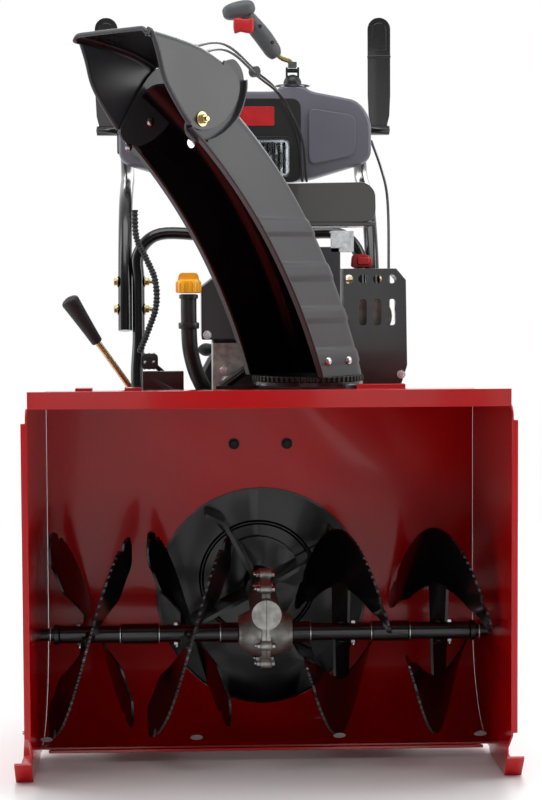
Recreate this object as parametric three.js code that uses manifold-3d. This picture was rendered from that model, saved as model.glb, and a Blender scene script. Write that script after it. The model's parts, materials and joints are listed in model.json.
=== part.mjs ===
// Two stage snowblower, millimetres, +Z up, the operator stands at +Y and the intake faces -Y.
// Depths are measured back from the front lip of the intake, and one group at the end centres the machine.
import * as THREE from 'three';
import { mergeVertices } from 'three/addons/utils/BufferGeometryUtils.js';
import Module from 'manifold-3d';

const wasm = await Module();
wasm.setup();

// ---- overall sizes ----
const CLEARING_WIDTH = 660;
const OVERALL_LENGTH = 1480;
const LIP_TOP = 556;
const ROOF_TOP = 535;
const SHEET = 3;
const FIT = 0.3;

// ---- intake ----
const AUGER_DEPTH = 235;
const AUGER_RADIUS = 152;
const AUGER_SWEEP_GAP = 13;
const GROUND_CLEARANCE = 11.5;
const CORNER_RADIUS = 12;
const FLANGE = 9;
const SCRAPER_THICK = 4.5;
const SHAFT_RADIUS = 9.5;
const TUBE_RADIUS = 13;
const SPACER_RADIUS = 15;
const END_SPACER = 8;
const FLIGHT_INNER = 64;
const FLIGHT_THICK = 4;
const FLIGHT_HALF_SWEEP = 82;
const FLIGHT_OVERHANG = 15;
const GEARBOX_HALF_WIDTH = 39;
const GEARBOX_SPACER = 28;
const SECTION_SPACER = 54;
const SIDE_SPACER = 27;

// ---- second stage ----
const SHAFT_OFFSET = 35;
const IMPELLER_TIP_GAP = 8;
const IMPELLER_SHAFT_RADIUS = 10;
const WORM_RADIUS = 10;
const DRUM_RADIUS = 160;
const DRUM_LENGTH = 138;
const PADDLES = 4;
const PULLEY_WIDTH = 16;
const PULLEY_GAP = 32;
const BELT_WIDTH = 8;
const BELT_THICK = 6;
const IMPELLER_PULLEY_RADIUS = 92;
const CRANK_PULLEY_RADIUS = 32;
const CRANK_X = 5;
const CRANK_RISE = 109;
const CRANK_HUB_RADIUS = 12;
const CHUTE_X = 78;
const CHUTE_DEPTH = 472;
const THROAT_RADIUS = 65;
const COLLAR_RADIUS = 88;

// ---- running gear ----
const TYRE_RADIUS = 190.5;
const TYRE_WIDTH = 127;
const TYRE_STEPS = 24;
const RIM_RADIUS = 76;
const TRACK_HALF = 190;
const AXLE_DEPTH = 740;
const AXLE_RADIUS = 9.5;
const FRAME_HALF = 118;
const FRAME_FRONT = 556;
const FRAME_BACK = 900;
const FRAME_BOTTOM = 120;
const DECK_TOP = 400;

// ---- chute ----
const CHUTE_WIDTH = 148;
const CHUTE_TAPER = 8;
const CHUTE_WALL = 4;
const CHUTE_REST_TURN = -45;
const CHUTE_ARC = 838;
const CHUTE_TILT_LOW = 21;
const CHUTE_TILT_HIGH = 53;
const HINGE_REACH = 311;
const HINGE_RISE = 383;
const HINGE_PIN_RADIUS = 5;

// ---- controls ----
const CABLE_RADIUS = 2.5;
const LOOM_RADIUS = 6;
const HOOP_HALF = 198;
const HOOP_RADIUS = 11;
const HANDLE_RADIUS = 12.5;
const HANDLE_TOP_HALF = 226;
const GRIP_RADIUS = 17;
const PANEL_DEEP = 65;
const PANEL_SETBACK = 360;
const LEVER_SETBACK = 230;
const LEVER_PIVOT_HEIGHT = 985;
const LEVER_X = 262;
const LEVER_PIN_RADIUS = 4;
const HEADLIGHT = [-75, 82, 890, 960];
const STICK_X = 90;
const STICK_HEIGHT = 1066;
const STICK_HOLE_RADIUS = 21;

// ---- sizes that follow ----
const SWEEP = AUGER_RADIUS + AUGER_SWEEP_GAP;
const AUGER_HEIGHT = SWEEP + SHEET + SCRAPER_THICK + GROUND_CLEARANCE;
const WALL_DEPTH = AUGER_DEPTH + SWEEP;
const IMPELLER_HEIGHT = AUGER_HEIGHT + SHAFT_OFFSET;
const TYRE_FLAT = Math.cos(Math.PI / TYRE_STEPS);
const AXLE_HEIGHT = TYRE_RADIUS * TYRE_FLAT;
const HALF_WIDTH = CLEARING_WIDTH / 2;
const SECTION_LENGTH = (HALF_WIDTH - GEARBOX_HALF_WIDTH - GEARBOX_SPACER - SECTION_SPACER - SIDE_SPACER) / 2;
const INNER_SECTION = GEARBOX_HALF_WIDTH + GEARBOX_SPACER + SECTION_LENGTH / 2;
const OUTER_SECTION = HALF_WIDTH - SIDE_SPACER - SECTION_LENGTH / 2;
const FLIGHT_PITCH = (360 * (SECTION_LENGTH / 2 + FLIGHT_OVERHANG)) / FLIGHT_HALF_SWEEP;
const DRUM_BACK = WALL_DEPTH + DRUM_LENGTH;
const IMPELLER_RADIUS = DRUM_RADIUS - IMPELLER_TIP_GAP;
const CHUTE_TOP_WIDTH = CHUTE_WIDTH - CHUTE_TAPER;
const COLLAR_TOP = ROOF_TOP + 9;
const PULLEY_DEPTH = DRUM_BACK + PULLEY_GAP;
const CRANK_HEIGHT = DECK_TOP + CRANK_RISE;
const WORM_WHEEL_RADIUS = SHAFT_OFFSET - WORM_RADIUS - FIT;
const PANEL_FRONT = OVERALL_LENGTH - PANEL_SETBACK;
const STICK_DEPTH = PANEL_FRONT + 30;
const LEVER_DEPTH = OVERALL_LENGTH - LEVER_SETBACK;
const LEVER_INNER = LEVER_X - 20;
const HANDLE_LOW_HALF = HOOP_HALF + HOOP_RADIUS + HANDLE_RADIUS + FIT;

// ---- materials ----
function finish(color, roughness, metalness) {
  return { color, roughness, metalness };
}
const RED_PAINT = finish(0xb3121a, 0.25, 0.1);
const BLACK_PAINT = finish(0x141416, 0.3, 0.1);
const DARK_PLASTIC = finish(0x3c3d42, 0.5, 0);
const PANEL_PLASTIC = finish(0x4a4b50, 0.5, 0);
const BLACK_PLASTIC = finish(0x17181a, 0.5, 0);
const CAST_METAL = finish(0xa3a5a3, 0.45, 0.9);
const STEEL = finish(0xb9bbbd, 0.35, 1);
const ZINC = finish(0xb79c52, 0.35, 1);
const RUBBER = finish(0x1a1a1a, 0.8, 0);
const YELLOW = finish(0xe8a80c, 0.45, 0);
const RED_PLASTIC = finish(0xc81e1e, 0.4, 0);
const CLEAR = finish(0xdfe6ea, 0.1, 0);

// ---- solids ----
function signedVolume(positions, index) {
  const a = new THREE.Vector3();
  const b = new THREE.Vector3();
  const c = new THREE.Vector3();
  let sum = 0;
  for (let i = 0; i < index.length; i += 3) {
    a.fromArray(positions, index[i] * 3);
    b.fromArray(positions, index[i + 1] * 3);
    c.fromArray(positions, index[i + 2] * 3);
    sum += a.dot(b.cross(c));
  }
  return sum;
}

function solid(geometry) {
  const bare = geometry.index ? geometry.toNonIndexed() : geometry.clone();
  for (const name of Object.keys(bare.attributes)) {
    if (name !== 'position') bare.deleteAttribute(name);
  }
  const merged = mergeVertices(bare, 1e-3);
  const positions = merged.attributes.position.array;
  const corners = [];
  const found = merged.index.array;
  for (let i = 0; i < found.length; i += 3) {
    const [a, b, c] = [found[i], found[i + 1], found[i + 2]];
    if (a !== b && b !== c && c !== a) corners.push(a, b, c);
  }
  if (signedVolume(positions, corners) < 0) corners.reverse();
  return new wasm.Manifold(new wasm.Mesh({
    numProp: 3,
    vertProperties: new Float32Array(positions),
    triVerts: new Uint32Array(corners),
  }));
}

function join(first, ...others) {
  return others.reduce((sum, piece) => sum.add(piece), first);
}

function cut(first, ...others) {
  return others.reduce((rest, piece) => rest.subtract(piece), first);
}

function toGeometry(body) {
  const mesh = body.getMesh();
  const geometry = new THREE.BufferGeometry();
  geometry.setAttribute('position', new THREE.BufferAttribute(mesh.vertProperties, 3));
  geometry.setIndex(new THREE.BufferAttribute(mesh.triVerts, 1));
  return geometry;
}

function add(group, name, body, look) {
  const geometry = toGeometry(body);
  geometry.computeVertexNormals();
  const mesh = new THREE.Mesh(geometry, new THREE.MeshStandardMaterial(look));
  mesh.name = name;
  group.add(mesh);
  return mesh;
}

function box(x0, x1, y0, y1, z0, z1) {
  const geometry = new THREE.BoxGeometry(x1 - x0, y1 - y0, z1 - z0);
  geometry.translate((x0 + x1) / 2, (y0 + y1) / 2, (z0 + z1) / 2);
  return solid(geometry);
}

function rod(from, to, radius, sides = 14, endRadius = radius) {
  const start = new THREE.Vector3(...from);
  const along = new THREE.Vector3(...to).sub(start);
  const geometry = new THREE.CylinderGeometry(endRadius, radius, along.length(), sides);
  geometry.translate(0, along.length() / 2, 0);
  const turn = new THREE.Quaternion().setFromUnitVectors(new THREE.Vector3(0, 1, 0), along.normalize());
  geometry.applyQuaternion(turn);
  geometry.translate(start.x, start.y, start.z);
  return solid(geometry);
}

// A body of revolution; the profile gives [radius, distance along the axis].
function lathe(profile, axis, centre, steps) {
  const points = profile.map(([radius, along]) => new THREE.Vector2(radius, along));
  const geometry = new THREE.LatheGeometry(points, steps);
  if (axis === 'x') geometry.rotateZ(-Math.PI / 2);
  if (axis === 'z') geometry.rotateX(Math.PI / 2);
  geometry.translate(...centre);
  return solid(geometry);
}

function ring(inner, outer, low, high) {
  return [[inner, low], [outer, low], [outer, high], [inner, high], [inner, low]];
}

function outline(points) {
  return new THREE.Shape(points.map(([u, v]) => new THREE.Vector2(u, v)));
}

// Extrudes an outline drawn in depth and height across the width from x0 to x1.
function across(shape, x0, x1, curveSegments = 12) {
  const geometry = new THREE.ExtrudeGeometry(shape, { depth: x1 - x0, bevelEnabled: false, curveSegments });
  const basis = new THREE.Matrix4().set(0, 0, 1, x0, 1, 0, 0, 0, 0, 1, 0, 0, 0, 0, 0, 1);
  geometry.applyMatrix4(basis);
  return solid(geometry);
}

// Extrudes an outline drawn in width and height backwards from y0 to y1.
function backwards(shape, y0, y1, curveSegments = 8) {
  const geometry = new THREE.ExtrudeGeometry(shape, { depth: y1 - y0, bevelEnabled: false, curveSegments });
  const basis = new THREE.Matrix4().set(1, 0, 0, 0, 0, 0, -1, y1, 0, 1, 0, 0, 0, 0, 0, 1);
  geometry.applyMatrix4(basis);
  return solid(geometry);
}

// A round bar bent along a smooth curve through the points.
function bentBar(points, radius, sides, steps) {
  const path = new THREE.CatmullRomCurve3(points.map((p) => new THREE.Vector3(...p)), false, 'centripetal');
  const section = new THREE.Shape();
  for (let i = 0; i < sides; i += 1) {
    const angle = (i / sides) * 2 * Math.PI;
    const [u, v] = [radius * Math.cos(angle), radius * Math.sin(angle)];
    if (i === 0) section.moveTo(u, v);
    else section.lineTo(u, v);
  }
  return solid(new THREE.ExtrudeGeometry(section, { extrudePath: path, steps, bevelEnabled: false }));
}

// A skin over a row of rings with the same number of corners, closed at both ends.
function loft(rings, capFaces) {
  const size = rings[0].length;
  const positions = rings.flat(2);
  const index = [];
  for (let i = 0; i + 1 < rings.length; i += 1) {
    for (let j = 0; j < size; j += 1) {
      const k = (j + 1) % size;
      const [a, b, c, d] = [i * size + j, i * size + k, (i + 1) * size + j, (i + 1) * size + k];
      index.push(a, b, d, a, d, c);
    }
  }
  const last = (rings.length - 1) * size;
  for (const [a, b, c] of capFaces) {
    index.push(c, b, a, last + a, last + b, last + c);
  }
  const geometry = new THREE.BufferGeometry();
  geometry.setAttribute('position', new THREE.Float32BufferAttribute(positions, 3));
  geometry.setIndex(index);
  return solid(geometry);
}

function mirrored(body) {
  const geometry = toGeometry(body);
  geometry.scale(-1, 1, 1);
  return solid(geometry);
}

function groupAt(parent, x, y, z) {
  const group = new THREE.Group();
  group.position.set(x, y, z);
  parent.add(group);
  return group;
}

const degrees = THREE.MathUtils.degToRad;
const machine = new THREE.Group();
machine.position.y = -OVERALL_LENGTH / 2;

// ---- intake housing ----
function sweepArc(shape, radius, fromDegrees, toDegrees, clockwise) {
  shape.absarc(AUGER_DEPTH, AUGER_HEIGHT, radius, degrees(fromDegrees), degrees(toDegrees), clockwise);
}

function housingShell() {
  const outer = WALL_DEPTH + SHEET;
  const shape = new THREE.Shape();
  shape.moveTo(0, LIP_TOP);
  shape.lineTo(0, ROOF_TOP - SHEET);
  shape.lineTo(WALL_DEPTH - CORNER_RADIUS, ROOF_TOP - SHEET);
  shape.lineTo(WALL_DEPTH, ROOF_TOP - SHEET - CORNER_RADIUS);
  shape.lineTo(WALL_DEPTH, AUGER_HEIGHT);
  sweepArc(shape, SWEEP, 0, -98, true);
  sweepArc(shape, SWEEP + SHEET, -98, 0, false);
  shape.lineTo(outer, ROOF_TOP - CORNER_RADIUS - SHEET / 2);
  shape.lineTo(WALL_DEPTH - CORNER_RADIUS + SHEET / 2, ROOF_TOP);
  shape.lineTo(SHEET, ROOF_TOP);
  shape.lineTo(SHEET, LIP_TOP);
  const inside = HALF_WIDTH - FIT;
  const stiffener = box(148, 223, 376, 396, ROOF_TOP - 1, ROOF_TOP + 7);
  const tabs = [-270, -195].map((x) => box(x - 13, x + 13, 360, 385, ROOF_TOP - 1, ROOF_TOP + 5));
  const sheet = across(shape, -inside, inside, 14);
  const mouth = rod([0, 320, IMPELLER_HEIGHT], [0, 420, IMPELLER_HEIGHT], DRUM_RADIUS + SHEET + FIT, 40);
  return join(cut(sheet, mouth), stiffener, ...tabs);
}

function sidePlate() {
  const shape = new THREE.Shape();
  const top = ROOF_TOP - 2;
  shape.moveTo(0, 75);
  shape.lineTo(0, top - 18);
  shape.absarc(18, top - 18, 18, Math.PI, Math.PI / 2, true);
  shape.lineTo(WALL_DEPTH + SHEET + 4, top);
  shape.lineTo(WALL_DEPTH + SHEET + 4, AUGER_HEIGHT);
  sweepArc(shape, SWEEP + SHEET + 4, 0, -104, true);
  shape.lineTo(60, 38);
  shape.closePath();
  const plate = across(shape, HALF_WIDTH, HALF_WIDTH + SHEET, 12);
  const flange = box(HALF_WIDTH, HALF_WIDTH + FLANGE, 0, SHEET, 80, top - 20);
  const onAxis = (x) => [HALF_WIDTH + x, AUGER_DEPTH, AUGER_HEIGHT];
  const hub = rod(onAxis(0), onAxis(12), 30, 16);
  const bore = rod(onAxis(-5), onAxis(20), SHAFT_RADIUS + FIT, 16);
  return cut(join(plate, flange, hub), bore);
}

function scraperBlade() {
  const shape = new THREE.Shape();
  const inner = SWEEP + SHEET + FIT;
  sweepArc(shape, inner, -102, -66, false);
  sweepArc(shape, inner + SCRAPER_THICK, -66, -102, true);
  const half = HALF_WIDTH - 11;
  return across(shape, -half, half, 8);
}

function skidShoe() {
  const x0 = HALF_WIDTH + SHEET + FIT;
  const plate = across(outline([[66, 26], [92, 2], [228, 2], [254, 26], [240, 114], [80, 114]]), x0, x0 + 4);
  const soleShape = [[60, 30], [88, 0], [232, 0], [260, 30], [256, 33], [230, 4], [90, 4], [64, 33]];
  const sole = across(outline(soleShape), x0, x0 + 25);
  const slots = [115, 205].map((y) => box(x0 - 1, x0 + 6, y - 5, y + 5, 40, 92));
  return cut(join(plate, sole), ...slots);
}

add(machine, 'housing_shell', housingShell(), RED_PAINT);
const plateRight = sidePlate();
add(machine, 'side_plate_right', plateRight, RED_PAINT);
add(machine, 'side_plate_left', mirrored(plateRight), RED_PAINT);
add(machine, 'scraper_blade', scraperBlade(), RED_PAINT);
const shoeRight = skidShoe();
add(machine, 'skid_shoe_right', shoeRight, RED_PAINT);
add(machine, 'skid_shoe_left', mirrored(shoeRight), RED_PAINT);

// ---- auger ----
// The angle runs from the bottom to the front, and the blade climbs along the shaft as it turns.
function ribbon(centreX, centreAngle, halfSweep, inner, outer, hand, steps) {
  const rings = [];
  for (let i = 0; i <= steps; i += 1) {
    const offset = -halfSweep + (2 * halfSweep * i) / steps;
    const angle = degrees(centreAngle + offset);
    const x = centreX + (hand * FLIGHT_PITCH * offset) / 360;
    const [y, z] = [-Math.sin(angle), -Math.cos(angle)];
    const half = FLIGHT_THICK / 2;
    rings.push([
      [x - half, inner * y, inner * z],
      [x + half, inner * y, inner * z],
      [x + half, outer * y, outer * z],
      [x - half, outer * y, outer * z],
    ]);
  }
  return loft(rings, [[0, 1, 2], [0, 2, 3]]);
}

function augerSection(centreX, hand, firstAngle) {
  const half = SECTION_LENGTH / 2;
  const sleeveProfile = ring(SHAFT_RADIUS + FIT, TUBE_RADIUS, centreX - half, centreX + half);
  const sleeve = lathe(sleeveProfile, 'x', [0, 0, 0], 16);
  const pieces = [];
  for (const angle of [firstAngle, firstAngle + 180]) {
    pieces.push(ribbon(centreX, angle, FLIGHT_HALF_SWEEP, FLIGHT_INNER, AUGER_RADIUS, hand, 11));
    pieces.push(ribbon(centreX, angle, 13, TUBE_RADIUS - 2, FLIGHT_INNER + 8, hand, 3));
  }
  return join(sleeve, ...pieces);
}

function augerShaft() {
  const end = HALF_WIDTH + 14;
  const half = SECTION_LENGTH / 2 + FIT;
  const spacers = [-1, 1].flatMap((side) => [
    [GEARBOX_HALF_WIDTH + 1, INNER_SECTION - half],
    [INNER_SECTION + half, OUTER_SECTION - half],
    [OUTER_SECTION + half, OUTER_SECTION + half + END_SPACER],
  ].map(([from, to]) => rod([side * from, 0, 0], [side * to, 0, 0], SPACER_RADIUS, 14)));
  const wheel = rod([-9, 0, 0], [9, 0, 0], WORM_WHEEL_RADIUS, 14);
  return join(rod([-end, 0, 0], [end, 0, 0], SHAFT_RADIUS, 14), wheel, ...spacers);
}

const auger = groupAt(machine, 0, AUGER_DEPTH, AUGER_HEIGHT);
add(auger, 'auger_shaft', augerShaft(), BLACK_PAINT);
add(auger, 'auger_flight_right_inner', augerSection(INNER_SECTION, -1, 0), BLACK_PAINT);
add(auger, 'auger_flight_right_outer', augerSection(OUTER_SECTION, -1, 0), BLACK_PAINT);
add(auger, 'auger_flight_left_inner', augerSection(-INNER_SECTION, 1, 90), BLACK_PAINT);
add(auger, 'auger_flight_left_outer', augerSection(-OUTER_SECTION, 1, 90), BLACK_PAINT);

// ---- auger gearbox, split down the middle ----
function gearboxHalf() {
  const flangeShape = new THREE.Shape();
  const rise = SHAFT_OFFSET + 13;
  flangeShape.absarc(0, 0, 47, Math.PI, 2 * Math.PI, false);
  flangeShape.absarc(0, rise, 40, 0, Math.PI, false);
  const flange = across(flangeShape, FIT / 2, 6.5, 10);
  const end = GEARBOX_HALF_WIDTH;
  const belly = lathe([[0, FIT / 2], [37, FIT / 2], [33, 24], [25, end], [0, end]], 'x', [0, 0, 0], 20);
  const boss = rod([0, -60, SHAFT_OFFSET], [0, 92, SHAFT_OFFSET], 22, 18);
  const halfSpace = box(FIT / 2, 80, -100, 120, -90, 120);
  const wheelRoom = rod([-12, 0, 0], [12, 0, 0], WORM_WHEEL_RADIUS + 1, 20);
  const wormRoom = rod([0, -48, SHAFT_OFFSET], [0, 30, SHAFT_OFFSET], WORM_RADIUS + 1, 20);
  const shaftRoom = rod([0, 0, SHAFT_OFFSET], [0, 120, SHAFT_OFFSET], IMPELLER_SHAFT_RADIUS + FIT, 16);
  const bore = rod([-60, 0, 0], [60, 0, 0], SHAFT_RADIUS + FIT, 16);
  return cut(join(flange, belly, boss).intersect(halfSpace), wheelRoom, wormRoom, shaftRoom, bore);
}

const gearbox = groupAt(machine, 0, AUGER_DEPTH, AUGER_HEIGHT);
const gearboxRight = gearboxHalf();
add(gearbox, 'gearbox_half_right', gearboxRight, CAST_METAL);
add(gearbox, 'gearbox_half_left', mirrored(gearboxRight), CAST_METAL);

// ---- impeller drum and impeller ----
function impellerDrum() {
  const height = IMPELLER_HEIGHT;
  const ductHalf = 75;
  const [ductLeft, ductRight] = [CHUTE_X - ductHalf, CHUTE_X + ductHalf];
  const ductFront = WALL_DEPTH + SHEET + 0.5;
  const barrel = rod([0, 300, height], [0, DRUM_BACK + SHEET, height], DRUM_RADIUS + SHEET, 40);
  const duct = box(ductLeft - SHEET, ductRight + SHEET, ductFront, DRUM_BACK + SHEET, height, ROOF_TOP + 4);
  const barrelRoom = rod([0, 290, height], [0, DRUM_BACK, height], DRUM_RADIUS, 40);
  const ductRoom = box(ductLeft, ductRight, ductFront + SHEET, DRUM_BACK, height, ROOF_TOP + 1);
  const onTurn = (z) => [CHUTE_X, CHUTE_DEPTH, z];
  const collar = rod(onTurn(ROOF_TOP + 3), onTurn(COLLAR_TOP), COLLAR_RADIUS, 32);
  const throat = rod(onTurn(ROOF_TOP - 10), onTurn(COLLAR_TOP + 9), THROAT_RADIUS, 32);
  const shelf = box(-66, 30, DRUM_BACK + 1, DRUM_BACK + 19, 526, 532);
  const strut = rod([-58, DRUM_BACK + 11, 529], [-6, DRUM_BACK + 11, 566], 7.5, 14);
  const intakeRoom = box(-HALF_WIDTH, HALF_WIDTH, 200, WALL_DEPTH, AUGER_HEIGHT, ROOF_TOP);
  const atAuger = (x) => [x, AUGER_DEPTH, AUGER_HEIGHT];
  const roomArc = rod(atAuger(-HALF_WIDTH), atAuger(HALF_WIDTH), SWEEP, 80);
  const hub = rod([0, DRUM_BACK, height], [0, DRUM_BACK + 12, height], 28, 24);
  const bore = rod([0, DRUM_BACK - 5, height], [0, DRUM_BACK + 20, height], IMPELLER_SHAFT_RADIUS + FIT, 24);
  const roofRoom = box(-HALF_WIDTH, HALF_WIDTH, 200, ductFront, height + DRUM_RADIUS + SHEET, ROOF_TOP + 2);
  const whole = join(barrel, duct, collar, shelf, strut, hub);
  return cut(whole, barrelRoom, ductRoom, throat, intakeRoom, roomArc, roofRoom, bore);
}

function impeller() {
  const bore = IMPELLER_SHAFT_RADIUS + FIT;
  const back = DRUM_LENGTH - 8;
  const hub = lathe(ring(bore, 24, 14, back), 'y', [0, 0, 0], 20);
  const disc = lathe(ring(bore, 70, back - 4, back), 'y', [0, 0, 0], 28);
  const paddles = [];
  for (let i = 0; i < PADDLES; i += 1) {
    const turn = (i / PADDLES) * 2 * Math.PI + 0.5;
    const shape = outline([[20, -3], [120, -3], [IMPELLER_RADIUS - 6, 16], [IMPELLER_RADIUS - 8, 21],
      [118, 3], [20, 3]]);
    const geometry = toGeometry(backwards(shape, 14, DRUM_LENGTH - 10));
    geometry.rotateY(-turn);
    paddles.push(solid(geometry));
  }
  return join(hub, disc, ...paddles);
}

function pulleyProfile(radius) {
  const middle = PULLEY_WIDTH / 2;
  return [[0, 0], [radius, 0], [radius, 2], [radius - 9, middle], [radius, PULLEY_WIDTH - 2],
    [radius, PULLEY_WIDTH], [0, PULLEY_WIDTH]];
}

function impellerShaft() {
  const front = AUGER_DEPTH - 40 - WALL_DEPTH;
  const shaft = rod([0, front, 0], [0, PULLEY_DEPTH + 20 - WALL_DEPTH, 0], IMPELLER_SHAFT_RADIUS - 0.5, 20);
  const worm = rod([0, front, 0], [0, front + 62, 0], WORM_RADIUS, 20);
  const pulley = lathe(pulleyProfile(IMPELLER_PULLEY_RADIUS), 'y', [0, PULLEY_DEPTH - WALL_DEPTH, 0], 24);
  return join(shaft, worm, pulley);
}

add(machine, 'impeller_drum', impellerDrum(), RED_PAINT);
const secondStage = groupAt(machine, 0, WALL_DEPTH, IMPELLER_HEIGHT);
add(secondStage, 'impeller', impeller(), BLACK_PAINT);
add(secondStage, 'impeller_shaft', impellerShaft(), STEEL);

// ---- chute ----
function chuteSection(tilt, slide = 0) {
  const t = degrees(tilt);
  const share = (tilt - CHUTE_TILT_LOW) / (CHUTE_TILT_HIGH - CHUTE_TILT_LOW);
  const low = degrees(CHUTE_TILT_LOW);
  const frontY = -57 - CHUTE_ARC * (Math.cos(low) - Math.cos(t)) + slide * Math.sin(t);
  const frontZ = CHUTE_ARC * (Math.sin(t) - Math.sin(low)) - slide * Math.cos(t);
  const half = THREE.MathUtils.lerp(CHUTE_WIDTH, CHUTE_TOP_WIDTH, share) / 2;
  const depth = 110 - 18 * share * share;
  const wall = CHUTE_WALL;
  const lip = 7;
  const round = 22;
  const right = [[half - wall, 0], [half + lip, 0], [half + lip, 5], [half, 5], [half, depth - round]];
  const inner = [];
  for (const angle of [30, 60, 90]) {
    const [c, s] = [Math.cos(degrees(angle)), Math.sin(degrees(angle))];
    right.push([half - round + round * c, depth - round + round * s]);
    inner.push([half - round + (round - wall) * c, depth - round + (round - wall) * s]);
  }
  inner.unshift([half - wall, depth - round]);
  const outer = right.slice(1).concat(right.slice(1).reverse().map(([x, b]) => [-x, b]));
  const inside = [[-half + wall, 0], ...inner.map(([x, b]) => [-x, b]), ...inner.slice().reverse(),
    [half - wall, 0]];
  return [...outer, ...inside].map(([x, b]) => [x, frontY + b * Math.cos(t), frontZ + b * Math.sin(t)]);
}

function sectionCap(points) {
  const flat = points.map(([x, y]) => new THREE.Vector2(x, y));
  return THREE.ShapeUtils.triangulateShape(flat, []);
}

// The upper ends of the side walls widen into ears that carry the deflector's hinge.
const EAR = [[-24, -22], [4, -33], [40, -22], [74, 4], [92, 38], [94, 66], [84, 84], [66, 90], [30, 70],
  [-20, 4]];
const EAR_MIDDLE = [35, 28];
function earPlate(side, scale, from, to) {
  const [u0, v0] = EAR_MIDDLE;
  const points = EAR.map(([u, v]) => [u0 + (u - u0) * scale - HINGE_REACH, v0 + (v - v0) * scale + HINGE_RISE]);
  const [x0, x1] = side > 0 ? [from, to] : [-to, -from];
  return across(outline(points), x0, x1);
}

function chute() {
  const rings = [chuteSection(CHUTE_TILT_LOW, 70)];
  const steps = 8;
  for (let i = 0; i <= steps; i += 1) {
    rings.push(chuteSection(THREE.MathUtils.lerp(CHUTE_TILT_LOW, CHUTE_TILT_HIGH, i / steps)));
  }
  const shell = loft(rings, sectionCap(rings[0]));
  const half = CHUTE_TOP_WIDTH / 2;
  const [ears, pins, cheekRooms] = [[], [], []];
  for (const side of [-1, 1]) {
    const [x0, x1] = side > 0 ? [half, half + 20] : [-half - 20, -half];
    const openTop = box(x0, x1, -HINGE_REACH - 90, -HINGE_REACH + 120, HINGE_RISE + 66, HINGE_RISE + 120);
    const raised = earPlate(side, 1, half - CHUTE_WALL, half + 8);
    ears.push(cut(raised, earPlate(side, 0.93, half, half + 9), openTop));
    cheekRooms.push(box(x0, x1, -HINGE_REACH - 80, -HINGE_REACH + 2, HINGE_RISE - 40, HINGE_RISE + 66));
    cheekRooms.push(box(x0, x1, -HINGE_REACH - 80, -HINGE_REACH + 60, HINGE_RISE + 10, HINGE_RISE + 66.1));
    const along = (x) => [side * (half + x), -HINGE_REACH, HINGE_RISE];
    pins.push(rod(along(-6), along(13), HINGE_PIN_RADIUS, 12), rod(along(6), along(8.5), 11, 14));
  }
  const below = box(-200, 200, -300, 300, -200, FIT);
  return cut(join(cut(join(shell, ...ears), ...cheekRooms), ...pins), below);
}

const CHEEK = [[-24, -8], [-8, -15], [15, -14], [40, -5], [69, 21], [80, 48], [72, 70], [46, 89], [8, 104],
  [-43, 115], [-108, 124], [-97, 115], [-85, 88], [-73, 53], [-49, 20]];
function deflector() {
  const half = CHUTE_TOP_WIDTH / 2;
  const plates = [-1, 1].map((side) => {
    const [x0, x1] = side > 0 ? [half + 1, half + 5.2] : [-half - 5.2, -half - 1];
    return across(outline(CHEEK), x0, x1);
  });
  const hoodShape = [[30, 95.5], [8, 104], [-43, 115], [-108, 124], [-108, 119], [-43, 110], [8, 99], [28, 91]];
  const hood = across(outline(hoodShape), -half - 1.5, half + 1.5);
  const hole = rod([-half - 9, 0, 0], [half + 9, 0, 0], HINGE_PIN_RADIUS + FIT, 16);
  return cut(join(hood, ...plates), hole);
}

function chuteRing() {
  return lathe(ring(THROAT_RADIUS, COLLAR_RADIUS, FIT, 9), 'z', [0, 0, 0], 32);
}

const turret = groupAt(machine, CHUTE_X, CHUTE_DEPTH, COLLAR_TOP);
turret.rotation.z = degrees(CHUTE_REST_TURN);
add(turret, 'chute_ring', chuteRing(), BLACK_PLASTIC);
const spout = groupAt(turret, 0, 0, 9);
add(spout, 'chute', chute(), DARK_PLASTIC);
const hood = groupAt(spout, 0, -HINGE_REACH, HINGE_RISE);
add(hood, 'deflector', deflector(), DARK_PLASTIC);

// ---- tractor frame, axle and wheels ----
function tractorFrame() {
  const outer = box(-FRAME_HALF, FRAME_HALF, FRAME_FRONT, FRAME_BACK, FRAME_BOTTOM, DECK_TOP);
  const room = box(-FRAME_HALF + SHEET, FRAME_HALF - SHEET, FRAME_FRONT + SHEET, FRAME_BACK - SHEET,
    FRAME_BOTTOM - 10, DECK_TOP - SHEET);
  const atAxle = (x) => [x, AXLE_DEPTH, AXLE_HEIGHT];
  const axleHole = rod(atAxle(-200), atAxle(200), AXLE_RADIUS + FIT, 20);
  const pulleyHole = rod([0, 540, IMPELLER_HEIGHT], [0, PULLEY_DEPTH + 40, IMPELLER_HEIGHT], 100, 32);
  const beltHole = box(-75, 75, 540, PULLEY_DEPTH + 40, IMPELLER_HEIGHT, DECK_TOP + 10);
  return cut(outer, room, axleHole, pulleyHole, beltHole);
}

const axleGroup = groupAt(machine, 0, AXLE_DEPTH, AXLE_HEIGHT);
function tyre(side) {
  const half = TYRE_WIDTH / 2;
  const bead = RIM_RADIUS + 1;
  const wall = 10;
  const profile = [[bead, -48], [160, -half], [TYRE_RADIUS, -38], [TYRE_RADIUS, 38], [160, half], [bead, 48],
    [bead, 48 - wall], [158, half - wall], [176, 0], [158, wall - half], [bead, wall - 48], [bead, -48]];
  const geometry = toGeometry(lathe(profile, 'x', [0, 0, 0], TYRE_STEPS));
  geometry.rotateX(Math.PI / TYRE_STEPS);
  geometry.translate(side * TRACK_HALF, 0, 0);
  return solid(geometry);
}

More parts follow.
